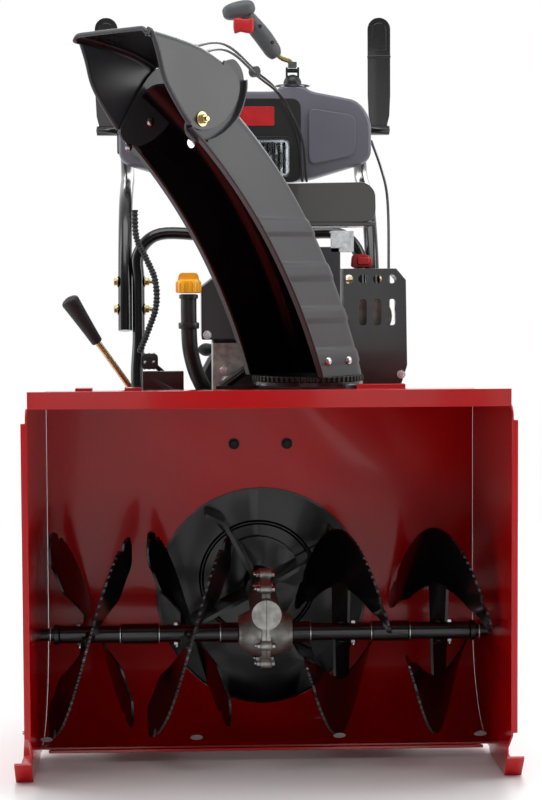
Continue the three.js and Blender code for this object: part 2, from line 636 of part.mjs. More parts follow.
function rim(side) {
  const barrel = ring(RIM_RADIUS - 5, RIM_RADIUS, -49, 49);
  const disc = [[AXLE_RADIUS + FIT, -4], [RIM_RADIUS - 2, -4], [RIM_RADIUS - 2, 4], [AXLE_RADIUS + FIT, 4],
    [AXLE_RADIUS + FIT, -4]];
  const hub = ring(AXLE_RADIUS + FIT, 19, -40, 30);
  const rings = [barrel, disc, hub].map((profile) => lathe(profile, 'x', [0, 0, 0], 16));
  const geometry = toGeometry(join(...rings));
  geometry.scale(side, 1, 1);
  geometry.translate(side * TRACK_HALF, 0, 0);
  return solid(geometry);
}

add(machine, 'tractor_frame', tractorFrame(), BLACK_PAINT);
const axleEnd = TRACK_HALF + 36;
add(axleGroup, 'axle', rod([-axleEnd, 0, 0], [axleEnd, 0, 0], AXLE_RADIUS, 20), STEEL);
for (const [name, side] of [['left', -1], ['right', 1]]) {
  add(axleGroup, `tyre_${name}`, tyre(side), RUBBER);
  add(axleGroup, `wheel_rim_${name}`, rim(side), CAST_METAL);
}

// ---- engine and drive ----
const FILLER_NECK_RADIUS = 19;
function enginePulley() {
  const hub = rod([0, 0, 0], [0, 60, 0], CRANK_HUB_RADIUS);
  return join(lathe(pulleyProfile(CRANK_PULLEY_RADIUS), 'y', [0, 0, 0], 20), hub);
}

function beltLoop(clearance) {
  const shape = new THREE.Shape();
  shape.absarc(0, IMPELLER_HEIGHT, IMPELLER_PULLEY_RADIUS + clearance, Math.PI, 2 * Math.PI, false);
  shape.absarc(CRANK_X, CRANK_HEIGHT, CRANK_PULLEY_RADIUS + clearance, 0, Math.PI, false);
  return shape;
}

function driveBelt() {
  const front = PULLEY_DEPTH + (PULLEY_WIDTH - BELT_WIDTH) / 2;
  const whole = backwards(beltLoop(FIT + BELT_THICK), front, front + BELT_WIDTH, 10);
  return cut(whole, backwards(beltLoop(FIT), front - 1, front + BELT_WIDTH + 1, 10));
}

function beltCover() {
  const foot = DECK_TOP + FIT;
  const front = PULLEY_DEPTH - 10;
  const outer = outline([[-80, foot], [-64, 530], [-40, 552], [50, 552], [72, 530], [85, foot]]);
  const inner = outline([[-77, foot - 5], [-61, 529], [-39, 549], [49, 549], [69, 529], [82, foot - 5]]);
  return cut(backwards(outer, front, front + 42), backwards(inner, front + SHEET, front + 50));
}

function engineBlock() {
  const crankcase = box(-70, 85, 622, 800, DECK_TOP + FIT, 600);
  const head = box(60, 132, 650, 790, 470, 640);
  const shaftHole = rod([CRANK_X, 560, CRANK_HEIGHT], [CRANK_X, 640, CRANK_HEIGHT], CRANK_HUB_RADIUS + 1);
  return cut(join(crankcase, head), shaftHole);
}

function engineShroud() {
  const outer = outline([[-88, 604], [-88, 690], [-60, 712], [0, 730], [60, 755], [140, 755], [140, 645],
    [60, 645], [60, 604]]);
  const inner = outline([[-84, 600], [-84, 688], [-58, 708], [0, 726], [60, 751], [136, 751], [136, 640],
    [56, 640], [56, 600]]);
  return cut(backwards(outer, 606, 790), backwards(inner, 610, 780));
}

function fuelTank() {
  const shape = outline([[-45, 800], [-40, 840], [-28, 858], [182, 860], [194, 848], [200, 800], [197, 788],
    [-40, 788]]);
  const body = backwards(shape, 620, 800);
  const neck = rod([20, 740, 850], [20, 740, 868], FILLER_NECK_RADIUS, 20);
  const stem = box(0, 60, 680, 760, 758, 790);
  return join(body, neck, stem);
}

function muffler() {
  const can = rod([195, 650, 640], [195, 760, 640], 34, 24);
  const pipe = rod([140, 695, 600], [190, 700, 630], 12, 14);
  return join(can, pipe);
}

function mufflerGuard() {
  const outer = outline([[147, 530], [147, 719], [232, 719], [248, 700], [250, 560], [240, 528]]);
  const inner = outline([[150, 520], [150, 716], [230, 716], [245, 699], [247, 560], [237, 520]]);
  const shell = cut(backwards(outer, 610, 780), backwards(inner, 613, 790));
  const holes = [154, 177, 201, 225].map((x) => rod([x, 600, 702], [x, 620, 702], 7.5, 10));
  const slots = [177, 201, 225].map((x) => {
    const shape = new THREE.Shape();
    shape.absarc(x, 632, 6.2, Math.PI, 2 * Math.PI, false);
    shape.absarc(x, 663, 6.2, 0, Math.PI, false);
    return backwards(shape, 600, 620, 4);
  });
  const pipeHole = rod([130, 694, 594], [190, 700, 630], 15, 14);
  return cut(shell, ...holes, ...slots, pipeHole);
}

function recoilHousing() {
  const cup = lathe([[0, 0], [92, 0], [98, 10], [98, 52], [0, 64]], 'y', [CRANK_X, 802, CRANK_HEIGHT], 32);
  const nose = rod([-40, 850, CRANK_HEIGHT + 60], [-48, 872, CRANK_HEIGHT + 66], 12, 16);
  return join(cup, nose);
}

function starterMotor() {
  const body = rod([-112, 625, 470], [-112, 745, 470], 34, 28);
  const cap = rod([-112, 612, 470], [-112, 626, 470], 28, 28);
  const holder = box(-186, -118, 632, 640, 498, 552);
  const foot = box(-118, -100, 632, 640, 480, 520);
  return join(body, cap, holder, foot);
}

const crank = groupAt(machine, CRANK_X, PULLEY_DEPTH, CRANK_HEIGHT);
add(crank, 'engine_pulley', enginePulley(), STEEL);
add(machine, 'drive_belt', driveBelt(), RUBBER);
add(machine, 'belt_cover', beltCover(), BLACK_PLASTIC);
add(machine, 'engine_block', engineBlock(), CAST_METAL);
add(machine, 'engine_shroud', engineShroud(), DARK_PLASTIC);
add(machine, 'fuel_tank', fuelTank(), BLACK_PLASTIC);
add(machine, 'muffler', muffler(), STEEL);
add(machine, 'muffler_guard', mufflerGuard(), BLACK_PAINT);
add(machine, 'recoil_housing', recoilHousing(), BLACK_PLASTIC);
add(machine, 'starter_motor', starterMotor(), BLACK_PAINT);

function fuelCap() {
  const profile = [[0, 5], [15, 5], [15, 0], [24, 0], [24, 20], [21, 24], [0, 24]];
  const neckRoom = rod([20, 740, 860], [20, 740, 873], FILLER_NECK_RADIUS + 0.5, 20);
  return cut(lathe(profile, 'z', [20, 740, 868.5], 24), neckRoom);
}

const FILLER_X = -109;
const FILLER_DEPTH = 604;
const FILLER_TOP = 680;
function oilFillerTube() {
  const at = (z) => [FILLER_X, FILLER_DEPTH, z];
  const route = [[-84, 640, 520], [-98, 622, 552], [-107, 608, 590], at(640), at(FILLER_TOP)];
  const tube = bentBar(route, 13, 10, 8);
  return join(tube, rod(at(622), at(633), 17, 20));
}

function oilFillerCap() {
  const at = (z) => [FILLER_X, FILLER_DEPTH, z];
  const head = rod(at(FILLER_TOP + FIT), at(FILLER_TOP + 23), 20.5, 24);
  const [y0, y1] = [FILLER_DEPTH - 4, FILLER_DEPTH + 4];
  const wing = box(FILLER_X - 18, FILLER_X + 18, y0, y1, FILLER_TOP + 20, FILLER_TOP + 34);
  return join(head, wing);
}

const RECOIL = [-49, 880, CRANK_HEIGHT + 67];
function recoilHandle() {
  const [x, y, z] = RECOIL;
  return join(rod([x, y, z], [x, y + 22, z], 7, 14), rod([x - 45, y + 28, z], [x + 45, y + 28, z], 11, 16));
}

function chokeKnob() {
  return join(rod([100, 800.6, 700], [100, 812, 700], 4, 12), rod([100, 811, 700], [100, 824, 700], 14, 20));
}

function starterPlug() {
  const pins = [-180, -167].map((x) => rod([x, 601, 569], [x, 583, 569], 2.4, 10));
  return join(box(-187, -160, 600, 630, 556, 582), ...pins);
}

const STARTER_LEAD = [[-173.5, 631, 569], [-172, 650, 566], [-150, 672, 545], [-128, 680, 520],
  [-118, 682, 505.5]];
add(machine, 'fuel_cap', fuelCap(), BLACK_PLASTIC);
add(machine, 'oil_filler_tube', oilFillerTube(), BLACK_PLASTIC);
add(machine, 'oil_filler_cap', oilFillerCap(), YELLOW);
add(machine, 'recoil_handle', recoilHandle(), BLACK_PLASTIC);
add(machine, 'choke_knob', chokeKnob(), BLACK_PLASTIC);
add(machine, 'starter_plug', starterPlug(), BLACK_PLASTIC);
add(machine, 'starter_lead', bentBar(STARTER_LEAD, 4, 8, 14), RUBBER);

// ---- handles and controls ----
function handleHoop() {
  const foot = FRAME_HALF + HOOP_RADIUS + 2;
  const side = (s) => [[s * foot, 888, 346], [s * (foot + 2), 890, 396], [s * 165, 896, 450],
    [s * HOOP_HALF, 905, 500], [s * HOOP_HALF, 925, 600], [s * HOOP_HALF, 940, 700], [s * HOOP_HALF, 948, 745],
    [s * (HOOP_HALF - 30), 952, 779]];
  const points = [...side(-1), [-60, 953, 779], [60, 953, 779], ...side(1).reverse()];
  return bentBar(points, HOOP_RADIUS, 8, 30);
}

function handleTube(s) {
  const low = s * HANDLE_LOW_HALF;
  const high = s * HANDLE_TOP_HALF;
  const tube = bentBar([[low, 925, 610], [low, 940, 690], [low, 975, 770], [low, PANEL_FRONT - 80, 838],
    [low, PANEL_FRONT + 10, 872], [low, PANEL_FRONT + 70, 893], [high, LEVER_DEPTH + 40, 962],
    [high, LEVER_DEPTH + 120, 988], [high, OVERALL_LENGTH - 6, 1000]], HANDLE_RADIUS, 8, 16);
  const boxBetween = (xa, xb, depth, z0, z1) => box(Math.min(s * xa, s * xb), Math.max(s * xa, s * xb),
    LEVER_DEPTH - depth, LEVER_DEPTH + depth, z0, z1);
  const bracket = boxBetween(HANDLE_TOP_HALF, LEVER_INNER, 10, 935, 1000);
  const hubRoom = boxBetween(HANDLE_TOP_HALF, LEVER_INNER - 6, 30, 970, 1010);
  const along = (x) => [s * x, LEVER_DEPTH, LEVER_PIVOT_HEIGHT];
  const pin = rod(along(LEVER_INNER - 3), along(LEVER_INNER + 42), LEVER_PIN_RADIUS, 14);
  return join(tube, cut(bracket, hubRoom), pin);
}

function grip(s) {
  const start = new THREE.Vector3(s * HANDLE_TOP_HALF, OVERALL_LENGTH - 104, 989.2);
  const along = new THREE.Vector3(0, 104, 11.2).normalize();
  const length = (OVERALL_LENGTH - start.y - GRIP_RADIUS * along.z) / along.y;
  const at = (t) => start.clone().addScaledVector(along, t).toArray();
  const sleeve = rod(at(0), at(length), GRIP_RADIUS, 16);
  const room = rod(at(-5), at(length - 3), HANDLE_RADIUS + 1.2, 16);
  return cut(sleeve, room);
}

function controlLever(s) {
  const hub = rod([s * (LEVER_INNER + 0.6), 0, 0], [s * (LEVER_INNER + 40), 0, 0], 10, 18);
  const blade = new THREE.Shape();
  const x = s * LEVER_X;
  blade.moveTo(x - 15, 2);
  blade.lineTo(x + 15, 2);
  blade.lineTo(x + 22, 40);
  blade.absarc(x, 193, 22, 0, Math.PI, false);
  blade.lineTo(x - 22, 40);
  const hole = rod([s * (LEVER_INNER - 5), 0, 0], [s * (LEVER_INNER + 50), 0, 0], LEVER_PIN_RADIUS + FIT, 14);
  return cut(join(hub, backwards(blade, -5, 5, 8)), hole);
}

function headlight(grow, from, to) {
  const [x0, x1, z0, z1] = HEADLIGHT;
  return box(x0 - grow, x1 + grow, PANEL_FRONT + from, PANEL_FRONT + to, z0 - grow, z1 + grow);
}

function dashPanel() {
  const corners = [[-237, 919], [-237, 998], [-212, 1034], [-120, 1051], [55, 1051], [72, 1062], [108, 1062],
    [125, 1051], [212, 1034], [237, 998], [237, 919], [120, 884], [60, 878], [-60, 878], [-120, 884]];
  const shrink = (x, z) => [x * 0.982, 964 + (z - 964) * 0.955];
  const shell = cut(backwards(outline(corners), PANEL_FRONT, PANEL_FRONT + PANEL_DEEP),
    backwards(outline(corners.map(([x, z]) => shrink(x, z))), PANEL_FRONT + 4, PANEL_FRONT + PANEL_DEEP + 5));
  const lamp = headlight(0, -5, 10);
  const speedSlot = box(-117, -103, PANEL_FRONT + 6, PANEL_FRONT + PANEL_DEEP + 5, 1000, 1070);
  const stickHole = rod([STICK_X, STICK_DEPTH, 1000], [STICK_X, STICK_DEPTH, 1080], STICK_HOLE_RADIUS, 24);
  return cut(shell, lamp, speedSlot, stickHole);
}

add(machine, 'handle_hoop', handleHoop(), BLACK_PAINT);
for (const [name, s] of [['left', -1], ['right', 1]]) {
  add(machine, `handle_tube_${name}`, handleTube(s), BLACK_PAINT);
  add(machine, `grip_${name}`, grip(s), RUBBER);
  const pivot = groupAt(machine, 0, LEVER_DEPTH, LEVER_PIVOT_HEIGHT);
  add(pivot, `control_lever_${name}`, controlLever(s), BLACK_PLASTIC);
}
add(machine, 'dash_panel', dashPanel(), PANEL_PLASTIC);
add(machine, 'headlight_lens', headlight(-FIT, -3, 8), CLEAR);

const stickGroup = groupAt(machine, STICK_X, STICK_DEPTH, STICK_HEIGHT);
const PIN_RISE = 24;
const ball = new THREE.SphereGeometry(17, 12, 8);
const cheeks = [[-12.5, -9], [9, 12.5]].map(([x0, x1]) => box(x0, x1, -6, 6, 0, PIN_RISE + 6));
const stickPin = rod([-12.5, 0, PIN_RISE], [12.5, 0, PIN_RISE], 4);
add(stickGroup, 'joystick_gimbal', join(solid(ball), stickPin, ...cheeks), BLACK_PLASTIC);
function joystick() {
  const rodPart = bentBar([[0, 0, 34], [-14, -3, 46], [-40, -11, 66]], 7, 8, 5);
  const knuckle = box(-8, 8, -8, 8, PIN_RISE + 5, PIN_RISE + 16);
  const handle = bentBar([[-26, -6, 46], [-54, -16, 84], [-95, -31, 132]], 16, 12, 6);
  const head = new THREE.SphereGeometry(1, 12, 8);
  head.scale(31, 21, 17);
  head.rotateY(-0.25);
  head.translate(-101, -34, 133);
  const recess = box(-112, -70, -62, -40, 84, 118);
  return cut(join(rodPart, knuckle, handle, solid(head)), recess);
}
add(stickGroup, 'joystick', joystick(), DARK_PLASTIC);
add(stickGroup, 'joystick_trigger', box(-110, -74, -58, -46, 88, 116), RED_PLASTIC);

const speed = groupAt(machine, -110, PANEL_FRONT + 40, 1010);
const knob = new THREE.SphereGeometry(15, 12, 8);
knob.translate(0, 0, 98);
add(speed, 'speed_lever', join(rod([0, 0, 0], [0, 0, 92], 4, 12), solid(knob)), BLACK_PLASTIC);

const SIDE = [-(FRAME_HALF + FIT), 585, 380];
function sideLever() {
  const boss = rod([SIDE[0], SIDE[1], SIDE[2]], [SIDE[0] - 12, SIDE[1], SIDE[2]], 14, 20);
  const arm = bentBar([[SIDE[0] - 8, 585, 380], [-136, 578, 412], [-170, 548, 476], [-206, 520, 535],
    [-262, 505, 616]], 5, 8, 12);
  const handle = rod([-256, 506, 607], [-300, 494, 676], 10, 16, 14);
  return join(boss, arm, handle);
}
add(machine, 'side_lever', sideLever(), ZINC);

// ---- cables and loom, held at both ends ----
const CABLE_UPPER = [[106, 1112, 880], [98, 1104, 962], [66, 1060, 1030], [5, 800, 1062], [-40, 560, 1075],
  [-69, 400, 1066], [-96, 300, 1050], [-112, 262, 1040]];
const CABLE_LOWER = [[114, 1112, 880], [106, 1104, 956], [76, 1060, 1018], [10, 800, 1052], [-34, 560, 1064],
  [-62, 400, 1056], [-88, 300, 1040], [-104, 262, 1030]];
const CABLE_DRIVE = [[242, 1190, 960], [252, 1100, 905], [256, 1020, 850], [250, 930, 720], [240, 860, 560],
  [226, 800, 440]];
const LOOM = [[-203, 915, 824], [-200, 912, 775], [-184, 905, 740], [-168, 896, 702], [-166, 886, 655],
  [-180, 880, 612], [-196, 872, 573]];
add(machine, 'control_cable_upper', bentBar(CABLE_UPPER, CABLE_RADIUS, 6, 18), RUBBER);
add(machine, 'control_cable_lower', bentBar(CABLE_LOWER, CABLE_RADIUS, 6, 18), RUBBER);
add(machine, 'drive_cable', bentBar(CABLE_DRIVE, CABLE_RADIUS, 6, 14), RUBBER);
add(machine, 'wiring_loom', bentBar(LOOM, LOOM_RADIUS, 8, 16), RUBBER);

export default machine;
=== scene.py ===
import json
import math

import bmesh
import bpy
from mathutils import Matrix, Vector


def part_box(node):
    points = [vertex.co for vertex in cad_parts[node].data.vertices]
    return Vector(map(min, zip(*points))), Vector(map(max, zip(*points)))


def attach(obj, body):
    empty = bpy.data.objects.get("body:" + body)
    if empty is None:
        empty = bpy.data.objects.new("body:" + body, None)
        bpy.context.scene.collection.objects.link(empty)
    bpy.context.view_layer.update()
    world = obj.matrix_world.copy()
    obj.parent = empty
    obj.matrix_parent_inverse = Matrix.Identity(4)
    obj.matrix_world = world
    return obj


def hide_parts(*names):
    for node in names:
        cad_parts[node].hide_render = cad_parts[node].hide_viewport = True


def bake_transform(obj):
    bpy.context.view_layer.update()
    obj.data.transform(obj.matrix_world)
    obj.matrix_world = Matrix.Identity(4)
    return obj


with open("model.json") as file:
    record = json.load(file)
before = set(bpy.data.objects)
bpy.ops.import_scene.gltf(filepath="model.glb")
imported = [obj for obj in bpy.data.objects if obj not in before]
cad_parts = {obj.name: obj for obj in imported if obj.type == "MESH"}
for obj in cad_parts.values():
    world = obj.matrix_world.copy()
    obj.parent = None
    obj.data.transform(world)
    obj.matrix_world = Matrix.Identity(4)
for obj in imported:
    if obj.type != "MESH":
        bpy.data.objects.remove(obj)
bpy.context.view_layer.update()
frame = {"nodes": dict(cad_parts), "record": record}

# ---- viewpoint and studio ----
# The machine stands on a pale floor and is seen from in front of the intake, a little above the engine deck.
# Soft boxes above and behind light the edges, and three tall panels in front are mirrored by the paint.
MM = 0.001
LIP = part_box("housing_shell")[0].y


def place(across, depth, height):
    """A point given in millimetres across, behind the front lip and above the ground."""
    return Vector((across * MM, LIP + depth * MM, height * MM))


camera_data = bpy.data.cameras.new("camera")
camera_data.lens = 96.3
camera_data.sensor_width = 36
camera = bpy.data.objects.new("camera", camera_data)
bpy.context.scene.collection.objects.link(camera)
yaw = Matrix.Rotation(math.radians(-2.27), 4, "Z")
pitch = Matrix.Rotation(math.radians(90 - 3.63), 4, "X")
roll = Matrix.Rotation(math.radians(-0.3), 4, "Z")
camera.matrix_world = Matrix.Translation((-0.114, LIP - 2.9, 0.727)) @ yaw @ pitch @ roll
bpy.context.scene.camera = camera
bpy.context.scene.view_settings.view_transform = "Standard"


def soft_box(name, middle, aim, width, height, watts):
    data = bpy.data.lights.new(name, "AREA")
    data.shape = "RECTANGLE"
    data.size = width
    data.size_y = height
    data.energy = watts
    lamp = bpy.data.objects.new(name, data)
    bpy.context.scene.collection.objects.link(lamp)
    lamp.location = middle
    lamp.rotation_euler = (Vector(aim) - Vector(middle)).to_track_quat("-Z", "Y").to_euler()


soft_box("overhead_box", (0.0, -0.9, 3.0), (0, -0.3, 0.4), 2.6, 2.0, 52)
soft_box("right_box", (2.8, -0.6, 1.7), (0, -0.2, 0.7), 1.2, 2.2, 32)
soft_box("left_box", (-2.8, 0.4, 1.8), (0, -0.2, 0.7), 1.2, 2.2, 24)
soft_box("rear_box", (0.4, 3.0, 2.4), (0, 0.0, 0.6), 2.6, 1.6, 50)
for count, across in enumerate((-1.25, -0.45, 0.55, 1.15)):
    soft_box(f"front_panel_{count}", (across, -5.2, 0.95), (across * 0.4, 0, 0.5), 0.42, 1.5, 3.6)


def linear(hex_colour):
    """The linear colour of an sRGB hex value."""
    channels = [int(hex_colour[i:i + 2], 16) / 255 for i in (1, 3, 5)]
    return [c / 12.92 if c <= 0.04045 else ((c + 0.055) / 1.055) ** 2.4 for c in channels] + [1.0]


def add(tree, kind, settings=(), links=()):
    """Adds a node, gives it its settings, and links other nodes' outputs to its inputs."""
    made = tree.nodes.new(kind)
    for name, value in dict(settings).items():
        if name in made.inputs:
            made.inputs[name].default_value = value
        else:
            setattr(made, name, value)
    for name, source in dict(links).items():
        tree.links.new(source, made.inputs[name])
    return made


world = bpy.data.worlds.new("studio")
bpy.context.scene.world = world
world.use_nodes = True
world.node_tree.nodes.clear()
sky = add(world.node_tree, "ShaderNodeTexCoord")
sky_split = add(world.node_tree, "ShaderNodeSeparateXYZ", {}, {"Vector": sky.outputs["Generated"]})
sky_share = add(world.node_tree, "ShaderNodeMapRange", {"From Min": -0.8, "From Max": 0.5, "To Min": 0.08,
                                                        "To Max": 1.0}, {"Value": sky_split.outputs["Y"]})
sky_light = add(world.node_tree, "ShaderNodeBackground", {"Color": (1, 1, 1, 1)},
                {"Strength": sky_share.outputs["Result"]})
add(world.node_tree, "ShaderNodeOutputWorld", {}, {"Surface": sky_light.outputs["Background"]})


def finish(name, colour, second_colour, patch, gloss, grain, relief, sockets=()):
    """A surface with two colours in soft patches, uneven gloss and a fine relief; sizes in millimetres."""
    material = bpy.data.materials.new(name)
    material.use_nodes = True
    tree = material.node_tree
    shader = tree.nodes["Principled BSDF"]
    for socket, value in dict(sockets).items():
        shader.inputs[socket].default_value = value
    where = add(tree, "ShaderNodeTexCoord").outputs["Object"]
    patches = add(tree, "ShaderNodeTexNoise", {"Scale": 1 / (patch * MM), "Detail": 4.0}, {"Vector": where})
    fine = add(tree, "ShaderNodeTexNoise", {"Scale": 1 / (grain * MM), "Detail": 2.0}, {"Vector": where})
    spread = add(tree, "ShaderNodeMapRange", {"From Min": 0.35, "From Max": 0.7},
                 {"Value": patches.outputs["Fac"]})
    tint = add(tree, "ShaderNodeMixRGB", {"Color1": linear(colour), "Color2": linear(second_colour)},
               {"Fac": spread.outputs["Result"]})
    shine = add(tree, "ShaderNodeMapRange", {"To Min": gloss[0], "To Max": gloss[1]},
                {"Value": patches.outputs["Fac"]})
    bump = add(tree, "ShaderNodeBump", {"Strength": 0.5, "Distance": relief * MM},
               {"Height": fine.outputs["Fac"]})
    tree.links.new(tint.outputs["Color"], shader.inputs["Base Color"])
    tree.links.new(shine.outputs["Result"], shader.inputs["Roughness"])
    tree.links.new(bump.outputs["Normal"], shader.inputs["Normal"])
    return material


# Matt studio paper, nearly white, so that the machine's shadow is soft and pale.
studio_paper = finish("studio_paper", "#F4F4F5", "#EDEDEE", 900, (0.35, 0.5), 4, 0.02)
floor_mesh = bpy.data.meshes.new("floor")
floor_mesh.from_pydata([(-7, -7, 0), (7, -7, 0), (7, 2.3, 0), (-7, 2.3, 0)], [], [(0, 1, 2, 3)])
floor_mesh.materials.append(studio_paper)
floor = bpy.data.objects.new("floor", floor_mesh)
bpy.context.scene.collection.objects.link(floor)


# ---- intake housing ----
# Pressed 3 mm sheet steel: a roof and rolled back, two side plates, the scraper bar and two skid runners.
# The sheets are welded and then painted together; the runners and the scraper are bolted on.
BODIES = {node: body for body, group in frame["record"]["behaviour"]["bodies"].items() for node in group}


def piece(name, shape, body, material, stands_for=(), bevel=0.0, segments=2, crease=32):
    """Turns a bmesh into a smooth-shaded piece with rounded edges that rides on a body."""
    bmesh.ops.remove_doubles(shape, verts=shape.verts, dist=0.01 * MM)
    bmesh.ops.recalc_face_normals(shape, faces=shape.faces)
    for face in shape.faces:
        face.smooth = True
    mesh = bpy.data.meshes.new(name)
    shape.to_mesh(mesh)
    shape.free()
    materials = material if isinstance(material, (list, tuple)) else [material]
    for one in materials:
        mesh.materials.append(one)
    mesh.set_sharp_from_angle(angle=math.radians(crease))
    made = bpy.data.objects.new(name, mesh)
    bpy.context.scene.collection.objects.link(made)
    if bevel:
        rounding = made.modifiers.new("rounded_edges", "BEVEL")
        rounding.width = bevel * MM
        rounding.segments = segments
        rounding.limit_method = "ANGLE"
        rounding.angle_limit = math.radians(crease)
        rounding.harden_normals = True
    if isinstance(body, tuple):
        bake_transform(made)
    else:
        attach(made, body)
    nodes = [stands_for] if isinstance(stands_for, str) else list(stands_for)
    if nodes:
        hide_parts(*nodes)
    return made


def refined(node, material, bevel=0.8, segments=2, crease=32):
    """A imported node's own shape with its edges rounded, standing for the node."""
    shape = bmesh.new()
    shape.from_mesh(frame["nodes"][node].data)
    bmesh.ops.remove_doubles(shape, verts=shape.verts, dist=0.02 * MM)
    bmesh.ops.dissolve_limit(shape, angle_limit=math.radians(1), verts=shape.verts, edges=shape.edges)
    for face in shape.faces:
        face.material_index = 0
    return piece(node + "_finished", shape, BODIES[node], material, stands_for=node, bevel=bevel,
                 segments=segments, crease=crease)


def turned(shape, profile, centre, axis, steps=40, index=0):
    """Turns a profile of (radius, distance along the axis), in millimetres, about the axis."""
    along = Vector(axis).normalized()
    side = along.orthogonal().normalized()
    other = along.cross(side)
    rings = []
    for radius, distance in profile:
        ring = []
        for step in range(steps):
            angle = 2 * math.pi * step / steps
            out = (side * math.cos(angle) + other * math.sin(angle)) * radius * MM
            ring.append(shape.verts.new(centre + along * distance * MM + out))
        rings.append(ring)
    skin(shape, rings, caps=profile[0][0] > 0 and profile[0] != profile[-1], index=index)


def skin(shape, rings, caps=True, index=0):
    """Joins rings of points with faces, and closes the ends."""
    for one, two in zip(rings, rings[1:]):
        for k in range(len(one)):
            n = (k + 1) % len(one)
            corners = []
            for corner in (one[k], one[n], two[n], two[k]):
                if all((corner.co - other.co).length > 1e-7 for other in corners):
                    corners.append(corner)
            if len(corners) > 2:
                shape.faces.new(corners).material_index = index
    if caps:
        shape.faces.new(list(reversed(rings[0]))).material_index = index
        shape.faces.new(rings[-1]).material_index = index


def hex_bolt(shape, centre, axis, across_flats=13, height=5.5, washer=True, stub=0):
    """A hexagon head on a washer, seated at the centre and standing out along the axis."""
    radius = across_flats / 2 / math.cos(math.pi / 6)
    base = 1.6 if washer else 0
    if washer:
        turned(shape, [(0, 0), (radius * 1.35, 0), (radius * 1.35, base), (0, base)], centre, axis, 24)
    top = base + height
    turned(shape, [(0, base), (radius, base), (radius, top - 0.8), (radius * 0.86, top), (0, top)],
           centre, axis, 6)
    if stub:
        turned(shape, [(0, top), (radius * 0.52, top), (radius * 0.52, top + stub), (0, top + stub)],
               centre, axis, 16)


def dome_bolt(shape, centre, axis, radius=9, height=4):
    """A carriage bolt's round head, seated at the centre."""
    profile = [(0, 0), (radius, 0)]
    for step in range(1, 6):
        angle = math.pi / 2 * step / 5
        profile.append((radius * math.cos(angle), height * math.sin(angle)))
    turned(shape, profile, centre, axis, 24)


# Stoving enamel on sheet steel: deep glossy red, with a faint orange-peel relief under a clear wet shine.
red_enamel = finish("red_stoving_enamel", "#C4060C", "#B4040A", 160, (0.12, 0.2), 7, 0.04,
                    {"Coat Weight": 0.2, "Coat Roughness": 0.05, "Specular IOR Level": 0.28})
# Bright zinc plating on rolled steel bolts: a cool silver shine, a little cloudy.
bright_zinc = finish("bright_zinc_steel", "#C9CBCC", "#AFB2B4", 9, (0.18, 0.32), 1.2, 0.02,
                     {"Metallic": 1.0})
for node in ("housing_shell", "side_plate_left", "side_plate_right", "scraper_blade", "skid_shoe_left",
             "skid_shoe_right"):
    refined(node, red_enamel, 0.9)

axis_depth, axis_height = 235, 184


def on_shaft(across, behind=0, above=0):
    """A point measured from the middle of the auger shaft."""
    return place(across, axis_depth + behind, axis_height + above)


bolts = bmesh.new()
for across in (-318, -103, 103, 307):
    turn = math.radians(34.5)
    reach = 164.5
    seat = on_shaft(across, -reach * math.sin(turn), -reach * math.cos(turn))
    dome_bolt(bolts, seat, (0, math.sin(turn), math.cos(turn)), 9, 4)
for side in (-1, 1):
    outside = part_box("skid_shoe_right")[1].x / MM - 21
    for depth in (115, 205):
        hex_bolt(bolts, place(side * outside, depth, 66), (side, 0, 0), 13, 6, stub=5)
    for step in range(3):
        angle = math.radians(90 + 120 * step)
        seat = on_shaft(side * 333, 44 * math.cos(angle), 44 * math.sin(angle))
        hex_bolt(bolts, seat, (side, 0, 0), 10, 5)
piece("housing_bolts", bolts, "chassis", bright_zinc, bevel=0.3)
# Phosphated steel: flat black with a faint metallic light, on the two bolts through the back wall.
black_steel = finish("black_phosphated_steel", "#17171A", "#232326", 6, (0.35, 0.5), 1, 0.03,
                     {"Metallic": 0.7})
wall_bolts = bmesh.new()
for across in (-41, 41):
    hex_bolt(wall_bolts, place(across, 399.6, 450), (0, -1, 0), 11, 5)
piece("wall_bolts", wall_bolts, "chassis", black_steel, bevel=0.3)

# ---- drum and impeller ----
# A short welded drum behind the back wall holds the four-bladed impeller and carries the chute's collar.
# Two rings are pressed into its back to stiffen it.

# Black chassis enamel over steel: near black, with long sharp highlights.
black_enamel = finish("black_gloss_enamel", "#0B0B0D", "#121214", 90, (0.16, 0.26), 5, 0.04,
                      {"Coat Weight": 0.2, "Coat Roughness": 0.08})
# The drum is red steel like the housing, but takes the near-black enamel: painted shade for its dark place
# deep in the intake.
refined("impeller_drum", black_enamel, 0.9)
# The pressed rings take the same near-black enamel as painted shade.
drum_rings = bmesh.new()
drum_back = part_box("impeller")[1].y / MM - LIP / MM + 8
for radius in (58, 92):
    bead = [(radius + 4 * math.cos(a * math.pi / 8), -4 * math.sin(a * math.pi / 8)) for a in range(9)]
    turned(drum_rings, bead + [bead[0]], place(0, drum_back, 219), (0, 1, 0), 72)
piece("drum_rings", drum_rings, "chassis", black_enamel)
refined("impeller", black_enamel, 1.2)
# Ground bar steel: bright and slightly streaky.
ground_steel = finish("ground_bar_steel", "#A9ABAD", "#8E9092", 14, (0.25, 0.4), 1.5, 0.02,
                      {"Metallic": 1.0})
refined("impeller_shaft", ground_steel, 0.8)

# ---- auger ----
# Four laser-cut steel ribbons, each pair twisted and welded through a spoke to a sleeve on the cross shaft.
# A shear bolt pins each sleeve. The outer edges are serrated to bite into packed snow.
SLEEVE_CENTRES = {"inner": 112.5, "outer": 257.5}
RIBBON_OUT = 152
RIBBON_IN = 66
HALF_SWEEP = 82
CLIMB = 265.6 / 360


def smooth_step(value):
    """Rises from 0 to 1 with soft ends."""
    value = max(0.0, min(1.0, value))
    return value * value * (3 - 2 * value)


